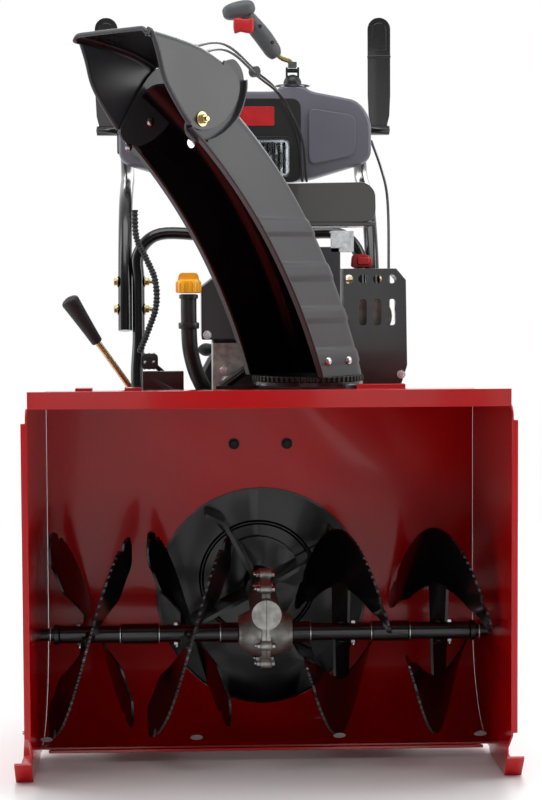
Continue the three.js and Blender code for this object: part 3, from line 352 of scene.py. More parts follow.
def ribbon(shape, centre, first_angle, hand, stations, thick=4):
    """A twisted plate: each station is an angle from the middle, with its inner and outer radius."""
    rings = []
    for offset, inner, outer in stations:
        angle = math.radians(first_angle + offset)
        across = centre + hand * CLIMB * offset
        ring = []
        for radius, shift in ((inner, -thick), (inner, thick), (outer, thick), (outer, -thick)):
            ring.append(shape.verts.new(on_shaft(across + shift / 2, -radius * math.sin(angle),
                                                 -radius * math.cos(angle))))
        rings.append(ring)
    skin(shape, rings)


def blade_stations():
    """One ribbon's stations: rounded at its tips, notched before them and serrated outside."""
    stations = []
    count = 150
    for step in range(count + 1):
        offset = -HALF_SWEEP + 2 * HALF_SWEEP * step / count
        reach = abs(offset)
        inner = RIBBON_IN + 34 * smooth_step((reach - 52) / 30)
        tip = max(0.0, (reach - 76) / 6)
        outer = RIBBON_OUT - 22 * (1 - math.sqrt(max(0.0, 1 - tip * tip))) - (2.6 if step % 4 < 2 else 0)
        notch = max(0.0, 1 - abs(reach - 66) / 3.2)
        outer -= 12 * math.sqrt(notch)
        inner += 16 * (1 - math.sqrt(max(0.0, 1 - tip * tip)))
        stations.append((offset, inner, max(outer, inner + 6)))
    return stations


for end, hand, first in (("left", 1, 90), ("right", -1, 0)):
    side = -1 if end == "left" else 1
    for section, middle in SLEEVE_CENTRES.items():
        centre = side * middle
        flight = bmesh.new()
        turned(flight, [(9.9, -45.5), (12.2, -45.5), (13, -44.7), (13, 44.7), (12.2, 45.5), (9.9, 45.5),
                        (9.9, -45.5)], on_shaft(centre), (1, 0, 0), 40)
        for blade in (first, first + 180):
            ribbon(flight, centre, blade, hand, blade_stations())
            spoke = []
            for step in range(13):
                offset = -15 + 30 * step / 12
                spoke.append((offset, 12.0, RIBBON_IN + 5))
            ribbon(flight, centre, blade, hand, spoke, 4.4)
            angle = math.radians(blade)
            root = on_shaft(centre, -13 * math.sin(angle), -13 * math.cos(angle))
            dome_bolt(flight, root, (0, -math.sin(angle), -math.cos(angle)), 7.5, 5)
        name = f"auger_flight_{end}_{section}"
        piece(name + "_cut", flight, "auger", black_enamel, stands_for=name, bevel=0.5, crease=40)

shaft = bmesh.new()
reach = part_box("auger_shaft")[1].x / MM
spacers = [(40, 67), (158.3, 211.7), (303.3, 311.6)]
for side in (-1, 1):
    profile = [(9.5, 0)]
    for start, stop in spacers:
        profile += [(9.5, start), (14.2, start), (15, start + 0.8), (15, stop - 0.8), (14.2, stop),
                    (9.5, stop)]
    profile += [(9.5, reach - 1), (8.5, reach), (0, reach)]
    turned(shaft, profile, on_shaft(0), (side, 0, 0), 36)
turned(shaft, [(0, -9), (24.7, -9), (24.7, 9), (0, 9)], on_shaft(0), (1, 0, 0), 40)
piece("auger_shaft_turned", shaft, "auger", black_enamel, stands_for="auger_shaft")
washers = bmesh.new()
for across in (-316, -213.5, -156.5, -66.5, 66.5, 156.5, 213.5, 316):
    turned(washers, [(9.6, -0.7), (16.5, -0.7), (16.5, 0.7), (9.6, 0.7), (9.6, -0.7)],
           on_shaft(across), (1, 0, 0), 32)
for across in (-274, -131, 131, 274):
    hex_bolt(washers, on_shaft(across, 0, 12.6), (0, 0, 1), 9, 4.5, washer=False)
    hex_bolt(washers, on_shaft(across, 0, -12.6), (0, 0, -1), 9, 4.5, washer=False, stub=3)
piece("auger_washers_and_shear_bolts", washers, "auger", bright_zinc, bevel=0.2)

# ---- auger gearbox ----
# A die-cast aluminium case in two halves, bolted round its flange, that hangs on the two shafts.
# Sand-cast skin gives a pale grey sparkle with darker pits; the bolts are plain zinc.
cast_skin = finish("sand_cast_aluminium", "#B4B4AE", "#8F8F8B", 11, (0.38, 0.55), 1.6, 0.22,
                   {"Metallic": 0.9})
for node in ("gearbox_half_left", "gearbox_half_right"):
    refined(node, cast_skin, 1.4, 3, 28)
case_bolts = bmesh.new()
boss = bmesh.new()
flange = [(-44, -12), (-44, 20), (-36, 70), (-12, 88), (16, 86), (37, 64), (45, 22), (44, -14), (22, -42),
          (-22, -42)]
for along, rise in flange:
    spot = on_shaft(0, along, rise)
    turned(boss, [(0, -8.5), (7, -8.5), (7.6, -6.5), (7.6, 6.5), (7, 8.5), (0, 8.5)], spot, (1, 0, 0), 20)
    hex_bolt(case_bolts, spot + Vector((8.5 * MM, 0, 0)), (1, 0, 0), 8, 5, washer=False)
    hex_bolt(case_bolts, spot - Vector((8.5 * MM, 0, 0)), (-1, 0, 0), 8, 5.5, washer=False, stub=3)
for side in (-1, 1):
    turned(boss, [(21, 39), (21, 27), (26, 24), (26.5, 36), (25, 39.4), (21, 39)],
           on_shaft(0), (side, 0, 0), 36)
piece("gearbox_bosses", boss, "chassis", cast_skin, bevel=0.4)
piece("gearbox_bolts", case_bolts, "chassis", bright_zinc, bevel=0.25)

# ---- chute ----
# One blow-moulded polyethylene trough that curves forward, open at the front, with out-turned front edges,
# four stiffening bands and raised ears at the top for the deflector's hinge bolts.
CHUTE_ACROSS, CHUTE_DEPTH = 78, 472
TURN = Matrix.Translation(place(CHUTE_ACROSS, CHUTE_DEPTH, 553)) @ Matrix.Rotation(math.radians(-45), 4, "Z")
CHUTE_ARC = 838
LOW_TILT, HIGH_TILT = math.radians(21), math.radians(53)
BANDS = ((219, 241), (152, 174), (87, 107), (21, 40))
HINGE = (311, 383)


def on_chute(across, back, up):
    """A point given in millimetres in the chute's own frame, where it faces its opening."""
    return TURN @ (Vector((across, back, up)) * MM)


def front_edge(tilt):
    """Where the trough's open front stands, back and up, at a tilt of its side view's arc."""
    return (-57 - CHUTE_ARC * (math.cos(LOW_TILT) - math.cos(tilt)),
            CHUTE_ARC * (math.sin(tilt) - math.sin(LOW_TILT)))


def back_edge(tilt):
    """The same for its closed back, which comes nearer the front towards the top."""
    share = (tilt - LOW_TILT) / (HIGH_TILT - LOW_TILT)
    back, up = front_edge(tilt)
    deep = 110 - 18 * share * share
    return back + deep * math.cos(tilt), up + deep * math.sin(tilt)


def level_with(up):
    """The tilt at which the back edge stands at a height."""
    low, high = math.radians(10), HIGH_TILT
    for _ in range(30):
        middle = (low + high) / 2
        if back_edge(middle)[1] < up:
            low = middle
        else:
            high = middle
    return low


def trough_ring(tilt):
    """One cross section of the trough: outer skin from flange to flange, then the inner skin back."""
    share = (tilt - LOW_TILT) / (HIGH_TILT - LOW_TILT)
    front, low_up = front_edge(tilt)
    level = level_with(low_up)
    slant = smooth_step((share - 0.7) / 0.3)
    rear, high_up = back_edge(level + (tilt - level) * slant)
    half = (148 - 8 * share) / 2
    length = math.hypot(rear - front, high_up - low_up)
    swell = 0.0
    for low, high in BANDS:
        swell = max(swell,
                    2.2 * smooth_step((low_up - low) / 2.5 + 0.5) * smooth_step((high - low_up) / 2.5 + 0.5))
    corner, wall_thick = 24, 4
    outer = [(half + 7.5, 1.2), (half + 8, 3), (half + 7, 5.2), (half + 2.5, 6.5), (half + swell, 9)]
    inner = [(half + 6.5, 0), (half - 2, 0), (half - wall_thick, 2.5), (half - wall_thick, 9)]
    outer.append((half + swell, length - corner))
    inner.append((half - wall_thick, length - corner))
    for step in range(1, 7):
        turn = math.pi / 2 * step / 6
        reach_out, reach_in = corner + swell, corner - wall_thick
        outer.append((half - corner + reach_out * math.cos(turn),
                      length - corner + reach_out * math.sin(turn)))
        inner.append((half - corner + reach_in * math.cos(turn),
                      length - corner + reach_in * math.sin(turn)))
    right = outer + [(-x, b) for x, b in reversed(outer)]
    left = [(-x, b) for x, b in inner] + list(reversed(inner))
    points = []
    for across, along in right + left:
        share_along = along / length
        points.append(on_chute(across, front + (rear - front) * share_along,
                               low_up + (high_up - low_up) * share_along))
    return points, len(right)


# Moulded black-grey polyethylene: a soft grey sheen with a fine spark-eroded grain on the outside.
grey_moulding = finish("grained_grey_polyethylene", "#303134", "#37383B", 120, (0.34, 0.44), 1.6, 0.09,
                       {"Specular IOR Level": 0.5})
# The same moulding on its inner faces, made near black and shiny: painted shade where the trough and the
# hood keep the light out.
painted_shade_moulding = finish("polyethylene_painted_shade", "#08080A", "#0D0D0F", 120, (0.22, 0.34), 3, 0.03)
chute = bmesh.new()
levels = [LOW_TILT + (HIGH_TILT - LOW_TILT) * step / 110 for step in range(111)]
rings = []
for tilt in levels:
    points, outer_count = trough_ring(tilt)
    rings.append([chute.verts.new(point) for point in points])
skin(chute, rings)
chute.verts.index_update()
ring_size = len(rings[0])
# The inner skin's faces take the near-black copy of the moulding: painted shade inside the trough.
for face in chute.faces:
    columns = sorted({vertex.index % ring_size for vertex in face.verts})
    if len(face.verts) == 4 and columns[0] >= outer_count + 1 and columns[-1] <= ring_size - 2:
        face.material_index = 1


def between_points(before, start, stop, after, t):
    """The point a share t of the way from start to stop on a smooth curve through all four."""
    return tuple(0.5 * (2 * s + (e - b) * t + (2 * b - 5 * s + 4 * e - a) * t * t
                        + (3 * s - b - 3 * e + a) * t ** 3)
                 for b, s, e, a in zip(before, start, stop, after))


def eased(points, count=6):
    """A closed outline drawn smoothly through its points."""
    total = len(points)
    made = []
    for i in range(total):
        before, start, stop, after = (points[(i + k - 1) % total] for k in range(4))
        for step in range(count):
            t = step / count
            made.append(between_points(before, start, stop, after, t))
    return made


def plate(shape, outline, low, high, spot, index=0):
    """A flat plate: the outline is in the chute's side view, and low and high are across it."""
    near = [shape.verts.new(spot(low, u, v)) for u, v in outline]
    far = [shape.verts.new(spot(high, u, v)) for u, v in outline]
    skin(shape, [near, far], index=index)


def on_hinge(across, back, up):
    """A point measured from the deflector's hinge, in the chute's frame."""
    return on_chute(across, back - HINGE[0], up + HINGE[1])


EAR = [(-24, -22), (4, -33), (40, -22), (74, 4), (92, 38), (94, 66), (84, 84), (66, 90), (30, 70), (-20, 4)]
ear_outline = eased(EAR)
ear_middle = (35, 28)
for side in (-1, 1):
    plate(chute, ear_outline, side * 66, side * 70, on_hinge)
    rim = []
    for scale_in in (0.945, 1.0):
        rim.append([((u - ear_middle[0]) * scale_in + ear_middle[0],
                     (v - ear_middle[1]) * scale_in + ear_middle[1])
                    for u, v in ear_outline])
    strip = []
    for k in [k for k, (u, v) in enumerate(ear_outline) if v < 66 and u > max(v, 4)]:
        strip.append([chute.verts.new(on_hinge(side * across, *rim[which][k]))
                      for which, across in ((0, 69), (1, 69), (1, 77.5), (0, 77.5))])
    skin(chute, strip)
piece("chute_moulded", chute, "turret", [grey_moulding, painted_shade_moulding], stands_for="chute", bevel=0.5,
      crease=40)

# Yellow chromated zinc on steel: pale brass, cloudy, with a metallic shine.
yellow_zinc = finish("yellow_chromated_zinc", "#C6B88C", "#AA9C70", 7, (0.2, 0.34), 1.2, 0.02,
                     {"Metallic": 1.0})
hinge_bolts = bmesh.new()
for side in (-1, 1):
    seat = on_hinge(side * 75.4, 0, 0)
    outwards = TURN.to_3x3() @ Vector((side, 0, 0))
    turned(hinge_bolts, [(0, 0), (11, 0), (11, 1.6), (0, 1.6)], seat, outwards, 28)
    hex_bolt(hinge_bolts, seat + outwards * 1.6 * MM, outwards, 12, 7, washer=False, stub=4)
piece("hinge_bolts", hinge_bolts, "turret", yellow_zinc, bevel=0.3)
chute_bolts = bmesh.new()
outwards = TURN.to_3x3() @ Vector((1, 0, 0))
for back, up in ((-36, 24), (12, 24)):
    for side in (-1, 1):
        dome_bolt(chute_bolts, on_chute(side * 74.6, back, up), outwards * side, 7, 4)
for back, up in ((-12, -34), (34, 4)):
    for side in (-1, 1):
        dome_bolt(chute_bolts, on_hinge(side * 65.6, back, up), outwards * -side, 7.5, 4)
piece("chute_bolts", chute_bolts, "turret", bright_zinc)
# Moulded black ABS: satin and finely grained, on the toothed turning ring under the chute.
black_moulding = finish("moulded_black_abs", "#121214", "#19191B", 90, (0.36, 0.48), 1.4, 0.07)
ring = bmesh.new()
ring_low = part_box("chute_ring")[0].z / MM
turned(ring, [(65, 0), (84, 0), (85, 0.8), (85, 7.4), (84, 8.6), (66, 8.6), (65, 7.8), (65, 0)],
       place(CHUTE_ACROSS, CHUTE_DEPTH, ring_low), (0, 0, 1), 72)
for tooth in range(60):
    angle = 2 * math.pi * tooth / 60
    out = Vector((math.cos(angle), math.sin(angle), 0))
    across = Vector((-math.sin(angle), math.cos(angle), 0))
    corners = [(84.5, -2.6), (88, -1.3), (88, 1.3), (84.5, 2.6)]
    low_up = [[ring.verts.new(place(CHUTE_ACROSS, CHUTE_DEPTH,
                                    ring_low + up) + (out * r + across * w) * MM) for r,
               w in corners]
              for up in (0.4, 8)]
    skin(ring, low_up)
piece("chute_ring_toothed", ring, "turret", black_moulding, stands_for="chute_ring", bevel=0.25)

# ---- deflector ----
# A second moulding with two cheeks and a rounded hood, hinged on the chute's ears.
# Its mouth has a rolled edge.
CHEEK = [(-24, -8), (-8, -15), (15, -14), (40, -5), (69, 21), (80, 48), (72, 70), (46, 89)]
HOOD_TOP = [(46, 89), (8, 104), (-43, 115), (-108, 124)]
MOUTH = [(-108, 124), (-97, 115), (-85, 88), (-73, 53), (-49, 20), (-24, -8)]


def open_eased(points, count=8):
    """A smooth line through a row of points, ends included."""
    padded = [points[0]] + list(points) + [points[-1]]
    made = []
    for i in range(1, len(padded) - 2):
        before, start, stop, after = padded[i - 1:i + 3]
        for step in range(count):
            t = step / count
            made.append(between_points(before, start, stop, after, t))
    made.append(tuple(points[-1]))
    return made


HALF_IN, HALF_OUT = 71.0, 75.2
HOOD_CORNER = 13
EDGE_HALF = 74.8
deflector = bmesh.new()
top_line = open_eased(HOOD_TOP, 6)
cheek_edge = open_eased(CHEEK, 6)
mouth_line = open_eased(MOUTH, 6)
cheek_outline = cheek_edge[:-1] + [(u, v - 9) for u, v in top_line] + mouth_line[3:-1]
for side in (-1, 1):
    low, high = sorted((side * HALF_IN, side * HALF_OUT))
    plate(deflector, cheek_outline, low, high, on_hinge)
hood_rings = []
for u, v in top_line:
    arch = []
    for half, drop in ((HALF_OUT, 0), (HALF_IN, HALF_OUT - HALF_IN)):
        row = []
        corner = HOOD_CORNER - drop
        for side in (-1, 1):
            for step in range(7):
                angle = math.pi / 2 * (step / 6 if side < 0 else 1 - step / 6)
                across = side * (half - corner + corner * math.cos(angle))
                row.append((across, u, v - drop - corner + corner * math.sin(angle)))
        arch.append(row)
    loop = arch[0] + list(reversed(arch[1]))
    hood_rings.append([deflector.verts.new(on_hinge(*point)) for point in loop])
skin(deflector, hood_rings)


def sweep(shape, points, radius, sides=20, index=0):
    """Skins a round bar along points; the radius is a number, or depends on the share of the way along."""
    rings = []
    up = None
    last = len(points) - 1
    for i, point in enumerate(points):
        ahead = (points[min(i + 1, last)] - points[max(i - 1, 0)]).normalized()
        up = ahead.orthogonal().normalized() if up is None else (up - ahead * up.dot(ahead)).normalized()
        side = ahead.cross(up)
        size = (radius(i / last) if callable(radius) else radius) * MM
        rings.append([shape.verts.new(point + (up * math.cos(2 * math.pi * k / sides)
                                               + side * math.sin(2 * math.pi * k / sides)) * size)
                      for k in range(sides)])
    skin(shape, rings, index=index)


mouth_path = [on_hinge(-EDGE_HALF, u, v) for u, v in reversed(mouth_line)][:-3]
mouth_back, mouth_up = top_line[-1]


def hood_corner(side, step):
    """A point on the rolled edge where it turns from a cheek onto the hood."""
    angle = math.pi / 2 * step / 6
    return on_hinge(side * (HALF_OUT - HOOD_CORNER + HOOD_CORNER * math.cos(angle)), mouth_back,
                    mouth_up - HOOD_CORNER + (HOOD_CORNER - 2) * math.sin(angle))


mouth_path += [hood_corner(-1, step) for step in range(1, 6)]
mouth_path += [on_hinge(across, mouth_back, mouth_up - 2) for across in range(-60, 61, 12)]
mouth_path += [hood_corner(1, step) for step in range(5, 0, -1)]
mouth_path += [on_hinge(EDGE_HALF, u, v) for u, v in mouth_line][3:]
sweep(deflector, mouth_path, 3.6, 12)
outwards = TURN.to_3x3() @ Vector((1, 0, 0))
bmesh.ops.recalc_face_normals(deflector, faces=deflector.faces)
# Faces turned inwards and the underside of the hood take the near-black copy of the moulding: painted shade
# inside the deflector.
for face in deflector.faces:
    across = (face.calc_center_median() - on_chute(0, 0, 0)).dot(outwards)
    faces_in = face.normal.dot(outwards) * across < -0.5 * abs(across)
    under_hood = face.normal.z < -0.5 and abs(across) < 0.062
    if faces_in or under_hood:
        face.material_index = 1
piece("deflector_moulded", deflector, "deflector", [grey_moulding, painted_shade_moulding], stands_for="deflector",
      bevel=0.6, crease=40)

# ---- frame, axle and wheels ----
# A folded steel tractor frame carries the engine; one live axle turns two pneumatic snow tyres.
refined("tractor_frame", black_enamel, 1.2)
refined("axle", ground_steel, 0.6)
frame_bolts = bmesh.new()
frame_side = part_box("tractor_frame")[1].x / MM
for side in (-1, 1):
    for depth, height in ((575, 150), (575, 370), (660, 375), (820, 375), (885, 150)):
        hex_bolt(frame_bolts, place(side * frame_side, depth, height), (side, 0, 0), 12, 5)
    turned(frame_bolts, [(10, 0), (22, 0), (22, 3), (14, 5), (10, 5), (10, 0)],
           place(side * frame_side, 740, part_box("axle")[0].z / MM + 9.5), (side, 0, 0), 32)
piece("frame_bolts_and_bearings", frame_bolts, "chassis", bright_zinc, bevel=0.3)

# Vulcanised tyre rubber: dull charcoal, dusty grey where it has rolled.
tyre_rubber = finish("vulcanised_tyre_rubber", "#17171A", "#232325", 30, (0.62, 0.8), 2.2, 0.18)
axle_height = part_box("axle")[0].z / MM + 9.5
TYRE_OUT = 188.3
AXLE_DEPTH = 740
TYRE_CROWN = 179
LUGS = 22
for name, side in (("left", -1), ("right", 1)):
    hub = place(side * 190, AXLE_DEPTH, axle_height)
    tyre = bmesh.new()
    carcass = [(77, -48), (84, -54), (100, -59), (130, -63), (155, -62.5), (168, -58), (175, -50),
               (178, -38),
               (TYRE_CROWN, -20), (TYRE_CROWN, 0)]
    carcass += [(r, -x) for r, x in reversed(carcass[:-1])]
    inner = [(77, 38), (110, 50), (150, 52), (166, 30), (168, 0), (166, -30), (150, -52), (110, -50),
             (77, -38)]
    turned(tyre, carcass + inner + [carcass[0]], hub, (side, 0, 0), 88)
    for lug in range(LUGS):
        for half in (-1, 1):
            rings = []
            for step in range(6):
                share = step / 5
                across = half * (2 + 55 * share)
                angle = 2 * math.pi * (lug + 0.5 * (half > 0)) / LUGS + 0.17 * share
                low = TYRE_CROWN - 3 - 8 * share ** 3
                high = TYRE_OUT - 9 * share ** 4
                width = (7.5 + 2.5 * share) / TYRE_OUT
                ring = []
                for radius, turn in ((low, -width), (low, width), (high, width * 0.72),
                                     (high, -width * 0.72)):
                    a = angle + turn
                    ring.append(tyre.verts.new(hub + Vector((side * across, radius * math.cos(a),
                                                             radius * math.sin(a))) * MM))
                rings.append(ring)
            skin(tyre, rings)
    piece(f"tyre_{name}_treaded", tyre, "wheels", tyre_rubber, stands_for=f"tyre_{name}", bevel=0.8,
          crease=38)
    rim = bmesh.new()
    well = [(76.5, -49), (76.5, -44), (66, -38), (64, 0), (66, 38), (76.5, 44), (76.5, 49), (73, 49.5),
            (70, 42),
            (61, 36), (60, 6), (44, 14), (30, 5), (20, 4), (20, 30), (18, 31), (10, 31), (10, -2),
            (18, -2), (30, 0),
            (44, 8), (60, 1), (61, -36), (70, -42), (73, -49.5), (76.5, -49)]
    turned(rim, well, hub, (side, 0, 0), 64)
    for step in range(5):
        angle = 2 * math.pi * step / 5
        hex_bolt(rim, hub + Vector((side * 10, 37 * math.cos(angle), 37 * math.sin(angle))) * MM,
                 (side, 0, 0), 11, 5)
    turned(rim, [(0, 0), (3.6, 0), (3.6, 12), (2.6, 13), (2.6, 20), (0, 20)],
           hub + Vector((side * 4, 0, 52)) * MM, (side, 0, 0.25), 12)
    piece(f"wheel_rim_{name}_pressed", rim, "wheels", red_enamel, stands_for=f"wheel_rim_{name}", bevel=0.4)

# ---- engine ----
# A single-cylinder overhead-valve engine under a moulded shroud, with its fuel tank above, a recoil starter
# behind, a mains starter motor beside it and a slotted guard over the muffler.
refined("engine_block", cast_skin, 3, 3)
refined("engine_pulley", ground_steel, 0.6)
# Moulded rubber: dull charcoal that takes only a broad soft light.
rubber_hose = finish("moulded_black_rubber", "#141416", "#1E1E20", 25, (0.5, 0.65), 1.5, 0.05)
refined("drive_belt", rubber_hose, 0.6)
refined("belt_cover", black_moulding, 4, 4)
refined("engine_shroud", grey_moulding, 6, 4)
# Bare aluminised exhaust steel, slightly blued by heat.
exhaust_steel = finish("heat_tinted_steel", "#8E8A84", "#6B625C", 22, (0.3, 0.5), 1.5, 0.05,
                       {"Metallic": 1.0})
refined("muffler", exhaust_steel, 1.5)
refined("muffler_guard", black_enamel, 2.2, 3)
refined("recoil_housing", black_moulding, 5, 4, 28)
refined("starter_motor", black_enamel, 2.0, 3)
fins = bmesh.new()
for count in range(7):
    rise = 486 + 20 * count
    low, high = place(58, 654, rise), place(136, 786, rise + 3)
    corners = [(low.x, low.y), (high.x, low.y), (high.x, high.y), (low.x, high.y)]
    skin(fins, [[fins.verts.new((x, y, z)) for x, y in corners] for z in (low.z, high.z)])
piece("cylinder_fins", fins, "chassis", cast_skin, bevel=0.8)


def corner_round(outline, radius, count=5):
    """An outline with each corner replaced by an arc."""
    made = []
    total = len(outline)
    for i in range(total):
        corner = Vector(outline[i])
        before = (Vector(outline[i - 1]) - corner)
        after = (Vector(outline[(i + 1) % total]) - corner)
        reach = min(radius, before.length * 0.45, after.length * 0.45)
        start, stop = corner + before.normalized() * reach, corner + after.normalized() * reach
        for step in range(count + 1):
            t = step / count
            made.append(tuple(start * (1 - t) ** 2 + corner * 2 * t * (1 - t) + stop * t * t))
    return made


def rounded(left, bottom, right, top, radius, count=5):
    """The outline of an upright rectangle with rounded corners."""
    return corner_round([(left, bottom), (left, top), (right, top), (right, bottom)], radius, count)


def slab(shape, outline, front, back, index=0):
    """A flat piece facing the intake: its outline is across and up, and front and back are depths."""
    near = [shape.verts.new(place(x, front, z)) for x, z in outline]
    far = [shape.verts.new(place(x, back, z)) for x, z in outline]
    skin(shape, [near, far], index=index)


# Blow-moulded fuel tank and its cover: glossy charcoal with a brown cast.
tank_moulding = finish("gloss_charcoal_polyamide", "#262523", "#2D2C2A", 150, (0.16, 0.24), 5, 0.05,
                       {"Coat Weight": 0.3})
tank = bmesh.new()
slab(tank, corner_round([(-45, 795), (-43, 858), (184, 861), (199, 846), (200, 795)], 26, 6), 621, 799)
slab(tank, rounded(-45, 789, 200, 795.5, 2, 2), 620, 800)
slab(tank, rounded(0, 759, 60, 790, 6, 3), 681, 759)
turned(tank, [(0, 0), (19, 0), (19, 14), (0, 14)], place(20, 740, 854), (0, 0, 1), 36)
piece("fuel_tank_moulded", tank, "chassis", tank_moulding, stands_for="fuel_tank", bevel=5, segments=5,
      crease=50)
cap = bmesh.new()
turned(cap, [(15, 5), (15, 0.6), (24, 0.4), (24, 18), (22, 22), (18, 23.6), (0, 24), (19.6, 5), (15, 5)],
       place(20, 740, 868.5), (0, 0, 1), 48)


def finger_ribs(shape, centre, reach, count, radius, height, tip):
    """Upright ribs with pointed tops, evenly spaced round a cap."""
    for rib in range(count):
        angle = 2 * math.pi * rib / count
        spot = centre + Vector((math.cos(angle), math.sin(angle), 0)) * reach * MM
        turned(shape, [(0, 0), (radius, 0), (radius, height), (0, tip)], spot, (0, 0, 1), 8)


finger_ribs(cap, place(20, 740, 870), 23.2, 24, 1.6, 15, 16)
piece("fuel_cap_ribbed", cap, "fuel_cap", black_moulding, stands_for="fuel_cap", bevel=0.3)



def weighed(one, two, low, high, t):
    """The value between two, which belong to low and high, that belongs to t."""
    return (one * (high - t) + two * (t - low)) / (high - low)


def smooth_path(points, count=10):
    """Points close together on a smooth curve through the given ones, with even bends where spans differ."""
    given = [Vector(p) for p in points]
    padded = [given[0] * 2 - given[1]] + given + [given[-1] * 2 - given[-2]]
    made = []
    for i in range(len(given) - 1):
        span = padded[i:i + 4]
        knots = [0.0]
        for one, two in zip(span, span[1:]):
            knots.append(knots[-1] + max((two - one).length, 1e-9) ** 0.5)
        for step in range(count):
            t = knots[1] + (knots[2] - knots[1]) * step / count
            thirds = [weighed(span[k], span[k + 1], knots[k], knots[k + 1], t) for k in range(3)]
            halves = [weighed(thirds[k], thirds[k + 1], knots[k], knots[k + 2], t) for k in range(2)]
            made.append(weighed(halves[0], halves[1], knots[1], knots[2], t))
    made.append(given[-1])
    return made


filler = bmesh.new()
FILLER = [place(*p) for p in ((-84, 640, 520), (-98, 622, 552), (-107, 608, 590), (-109, 604, 640),
                              (-109, 604, 679))]
sweep(filler, smooth_path(FILLER), 13, 28)
turned(filler, [(13, 0), (16.4, 0.6), (17, 2), (17, 9), (16.4, 10.4), (13, 11)], place(-109, 604, 622),
       (0, 0, 1), 36)
turned(filler, [(13, 0), (15.5, 1), (15.5, 7), (13, 7)], place(-109, 604, 671), (0, 0, 1), 36)
piece("oil_filler_tube_moulded", filler, "chassis", black_moulding, stands_for="oil_filler_tube")
# Injection-moulded nylon in signal yellow, semi-gloss, a shade deeper where hands have touched it.
yellow_nylon = finish("yellow_nylon", "#FBB40E", "#F0A408", 30, (0.28, 0.4), 1.5, 0.04)
oil_cap = bmesh.new()
turned(oil_cap, [(0, 0.6), (19, 0.6), (20, 2), (20, 19), (18.5, 22), (14, 23), (0, 23)],
       place(-109, 604, 680), (0, 0, 1), 56)
wing = corner_round([(-127.5, 700), (-124, 714), (-94, 714), (-90.5, 700)], 6, 5)
slab(oil_cap, wing, 599, 609)
finger_ribs(oil_cap, place(-109, 604, 682), 19.4, 16, 1.9, 16, 17.5)
piece("oil_filler_cap_ribbed", oil_cap, "oil_cap", yellow_nylon, stands_for="oil_filler_cap", bevel=1.2,
      segments=3)

recoil = bmesh.new()
turned(recoil, [(0, 0), (6.5, 0), (7, 6), (8, 16), (11, 24), (0, 24)], place(-49, 880, 576), (0, 1, 0), 28)
sweep(recoil, smooth_path([place(-94, 906, 576), place(-72, 908, 576), place(-49, 909, 576),
                           place(-26, 908, 576), place(-4, 906, 576)], 6),
      lambda t: 11 * (1 - 0.75 * abs(2 * t - 1) ** 8) - 1.2 * math.cos(6 * math.pi * t), 20)
piece("recoil_handle_moulded", recoil, "recoil_handle", rubber_hose, stands_for="recoil_handle")
choke = bmesh.new()
turned(choke, [(0, 0.8), (4, 0.8), (4, 10.5), (12.5, 11), (14, 12.5), (14, 21.5), (12, 24), (8, 23.4),
               (0, 23)],
       place(100, 800, 700), (0, 1, 0), 40)
piece("choke_knob_turned", choke, "choke_knob", black_moulding, stands_for="choke_knob")
CRANK_ACROSS, CRANK_HEIGHT = 5, 509
vents = bmesh.new()
for count in range(24):
    angle = 2 * math.pi * count / 24
    for reach in (50, 72):
        middle = place(CRANK_ACROSS, 862.5 - 0.118 * (reach - 20),
                       CRANK_HEIGHT) + Vector((math.cos(angle), 0,
                                                                       math.sin(angle))) * reach * MM
        out = Vector((math.cos(angle), 0, math.sin(angle)))
        flat = Vector((-math.sin(angle), 0, math.cos(angle)))
        corners = [(-8, -2.2), (8, -2.2), (8, 2.2), (-8, 2.2)]
        rows = [[vents.verts.new(middle + (out * a + flat * b) * MM + Vector((0, lift, 0)))
                 for a, b in corners] for lift in (-0.004, 0.0022)]
        skin(vents, rows)
piece("recoil_vent_bars", vents, "chassis", black_moulding, bevel=0.8)

# The starter's mains inlet: two bright pins in a soft-moulded plug held by a steel holder.
plug = bmesh.new()
slab(plug, rounded(-187, 556.5, -160, 581.5, 8, 5), 604, 629)
slab(plug, rounded(-184, 559.5, -163, 578.5, 6, 5), 600, 606)
for across in (-184, -176, -168):
    slab(plug, rounded(across, 555.4, across + 3, 582.6, 1, 2), 610, 624)
piece("starter_plug_moulded", plug, "chassis", rubber_hose, stands_for="starter_plug", bevel=1.6, segments=3)
pins = bmesh.new()
for across in (-180, -167):
    turned(pins, [(0, 0), (2.4, 0), (2.4, 16), (1.6, 18), (0, 18.4)], place(across, 601, 569), (0, -1, 0),
           16)
piece("starter_pins", pins, "chassis", bright_zinc)
lead = bmesh.new()
LEAD = [place(*p) for p in ((-173.5, 630, 569), (-172, 650, 566), (-150, 672, 545), (-128, 680, 520),
                            (-118, 682, 505.5))]
sweep(lead, smooth_path(LEAD), lambda t: 4 + 2.6 * max(0.0, 1 - t / 0.3) ** 0.7, 16)
piece("starter_lead_moulded", lead, "chassis", rubber_hose, stands_for="starter_lead")

# Small pressings and fasteners round the engine: a zinc bracket, the red spark-plug boot and cover screws.
bracket = bmesh.new()
slab(bracket, rounded(124, 746, 162, 781, 3, 3), 606, 608.5)
slab(bracket, rounded(124, 778, 162, 781, 1, 2), 607, 640)
piece("tank_bracket", bracket, "chassis", bright_zinc, bevel=0.7)
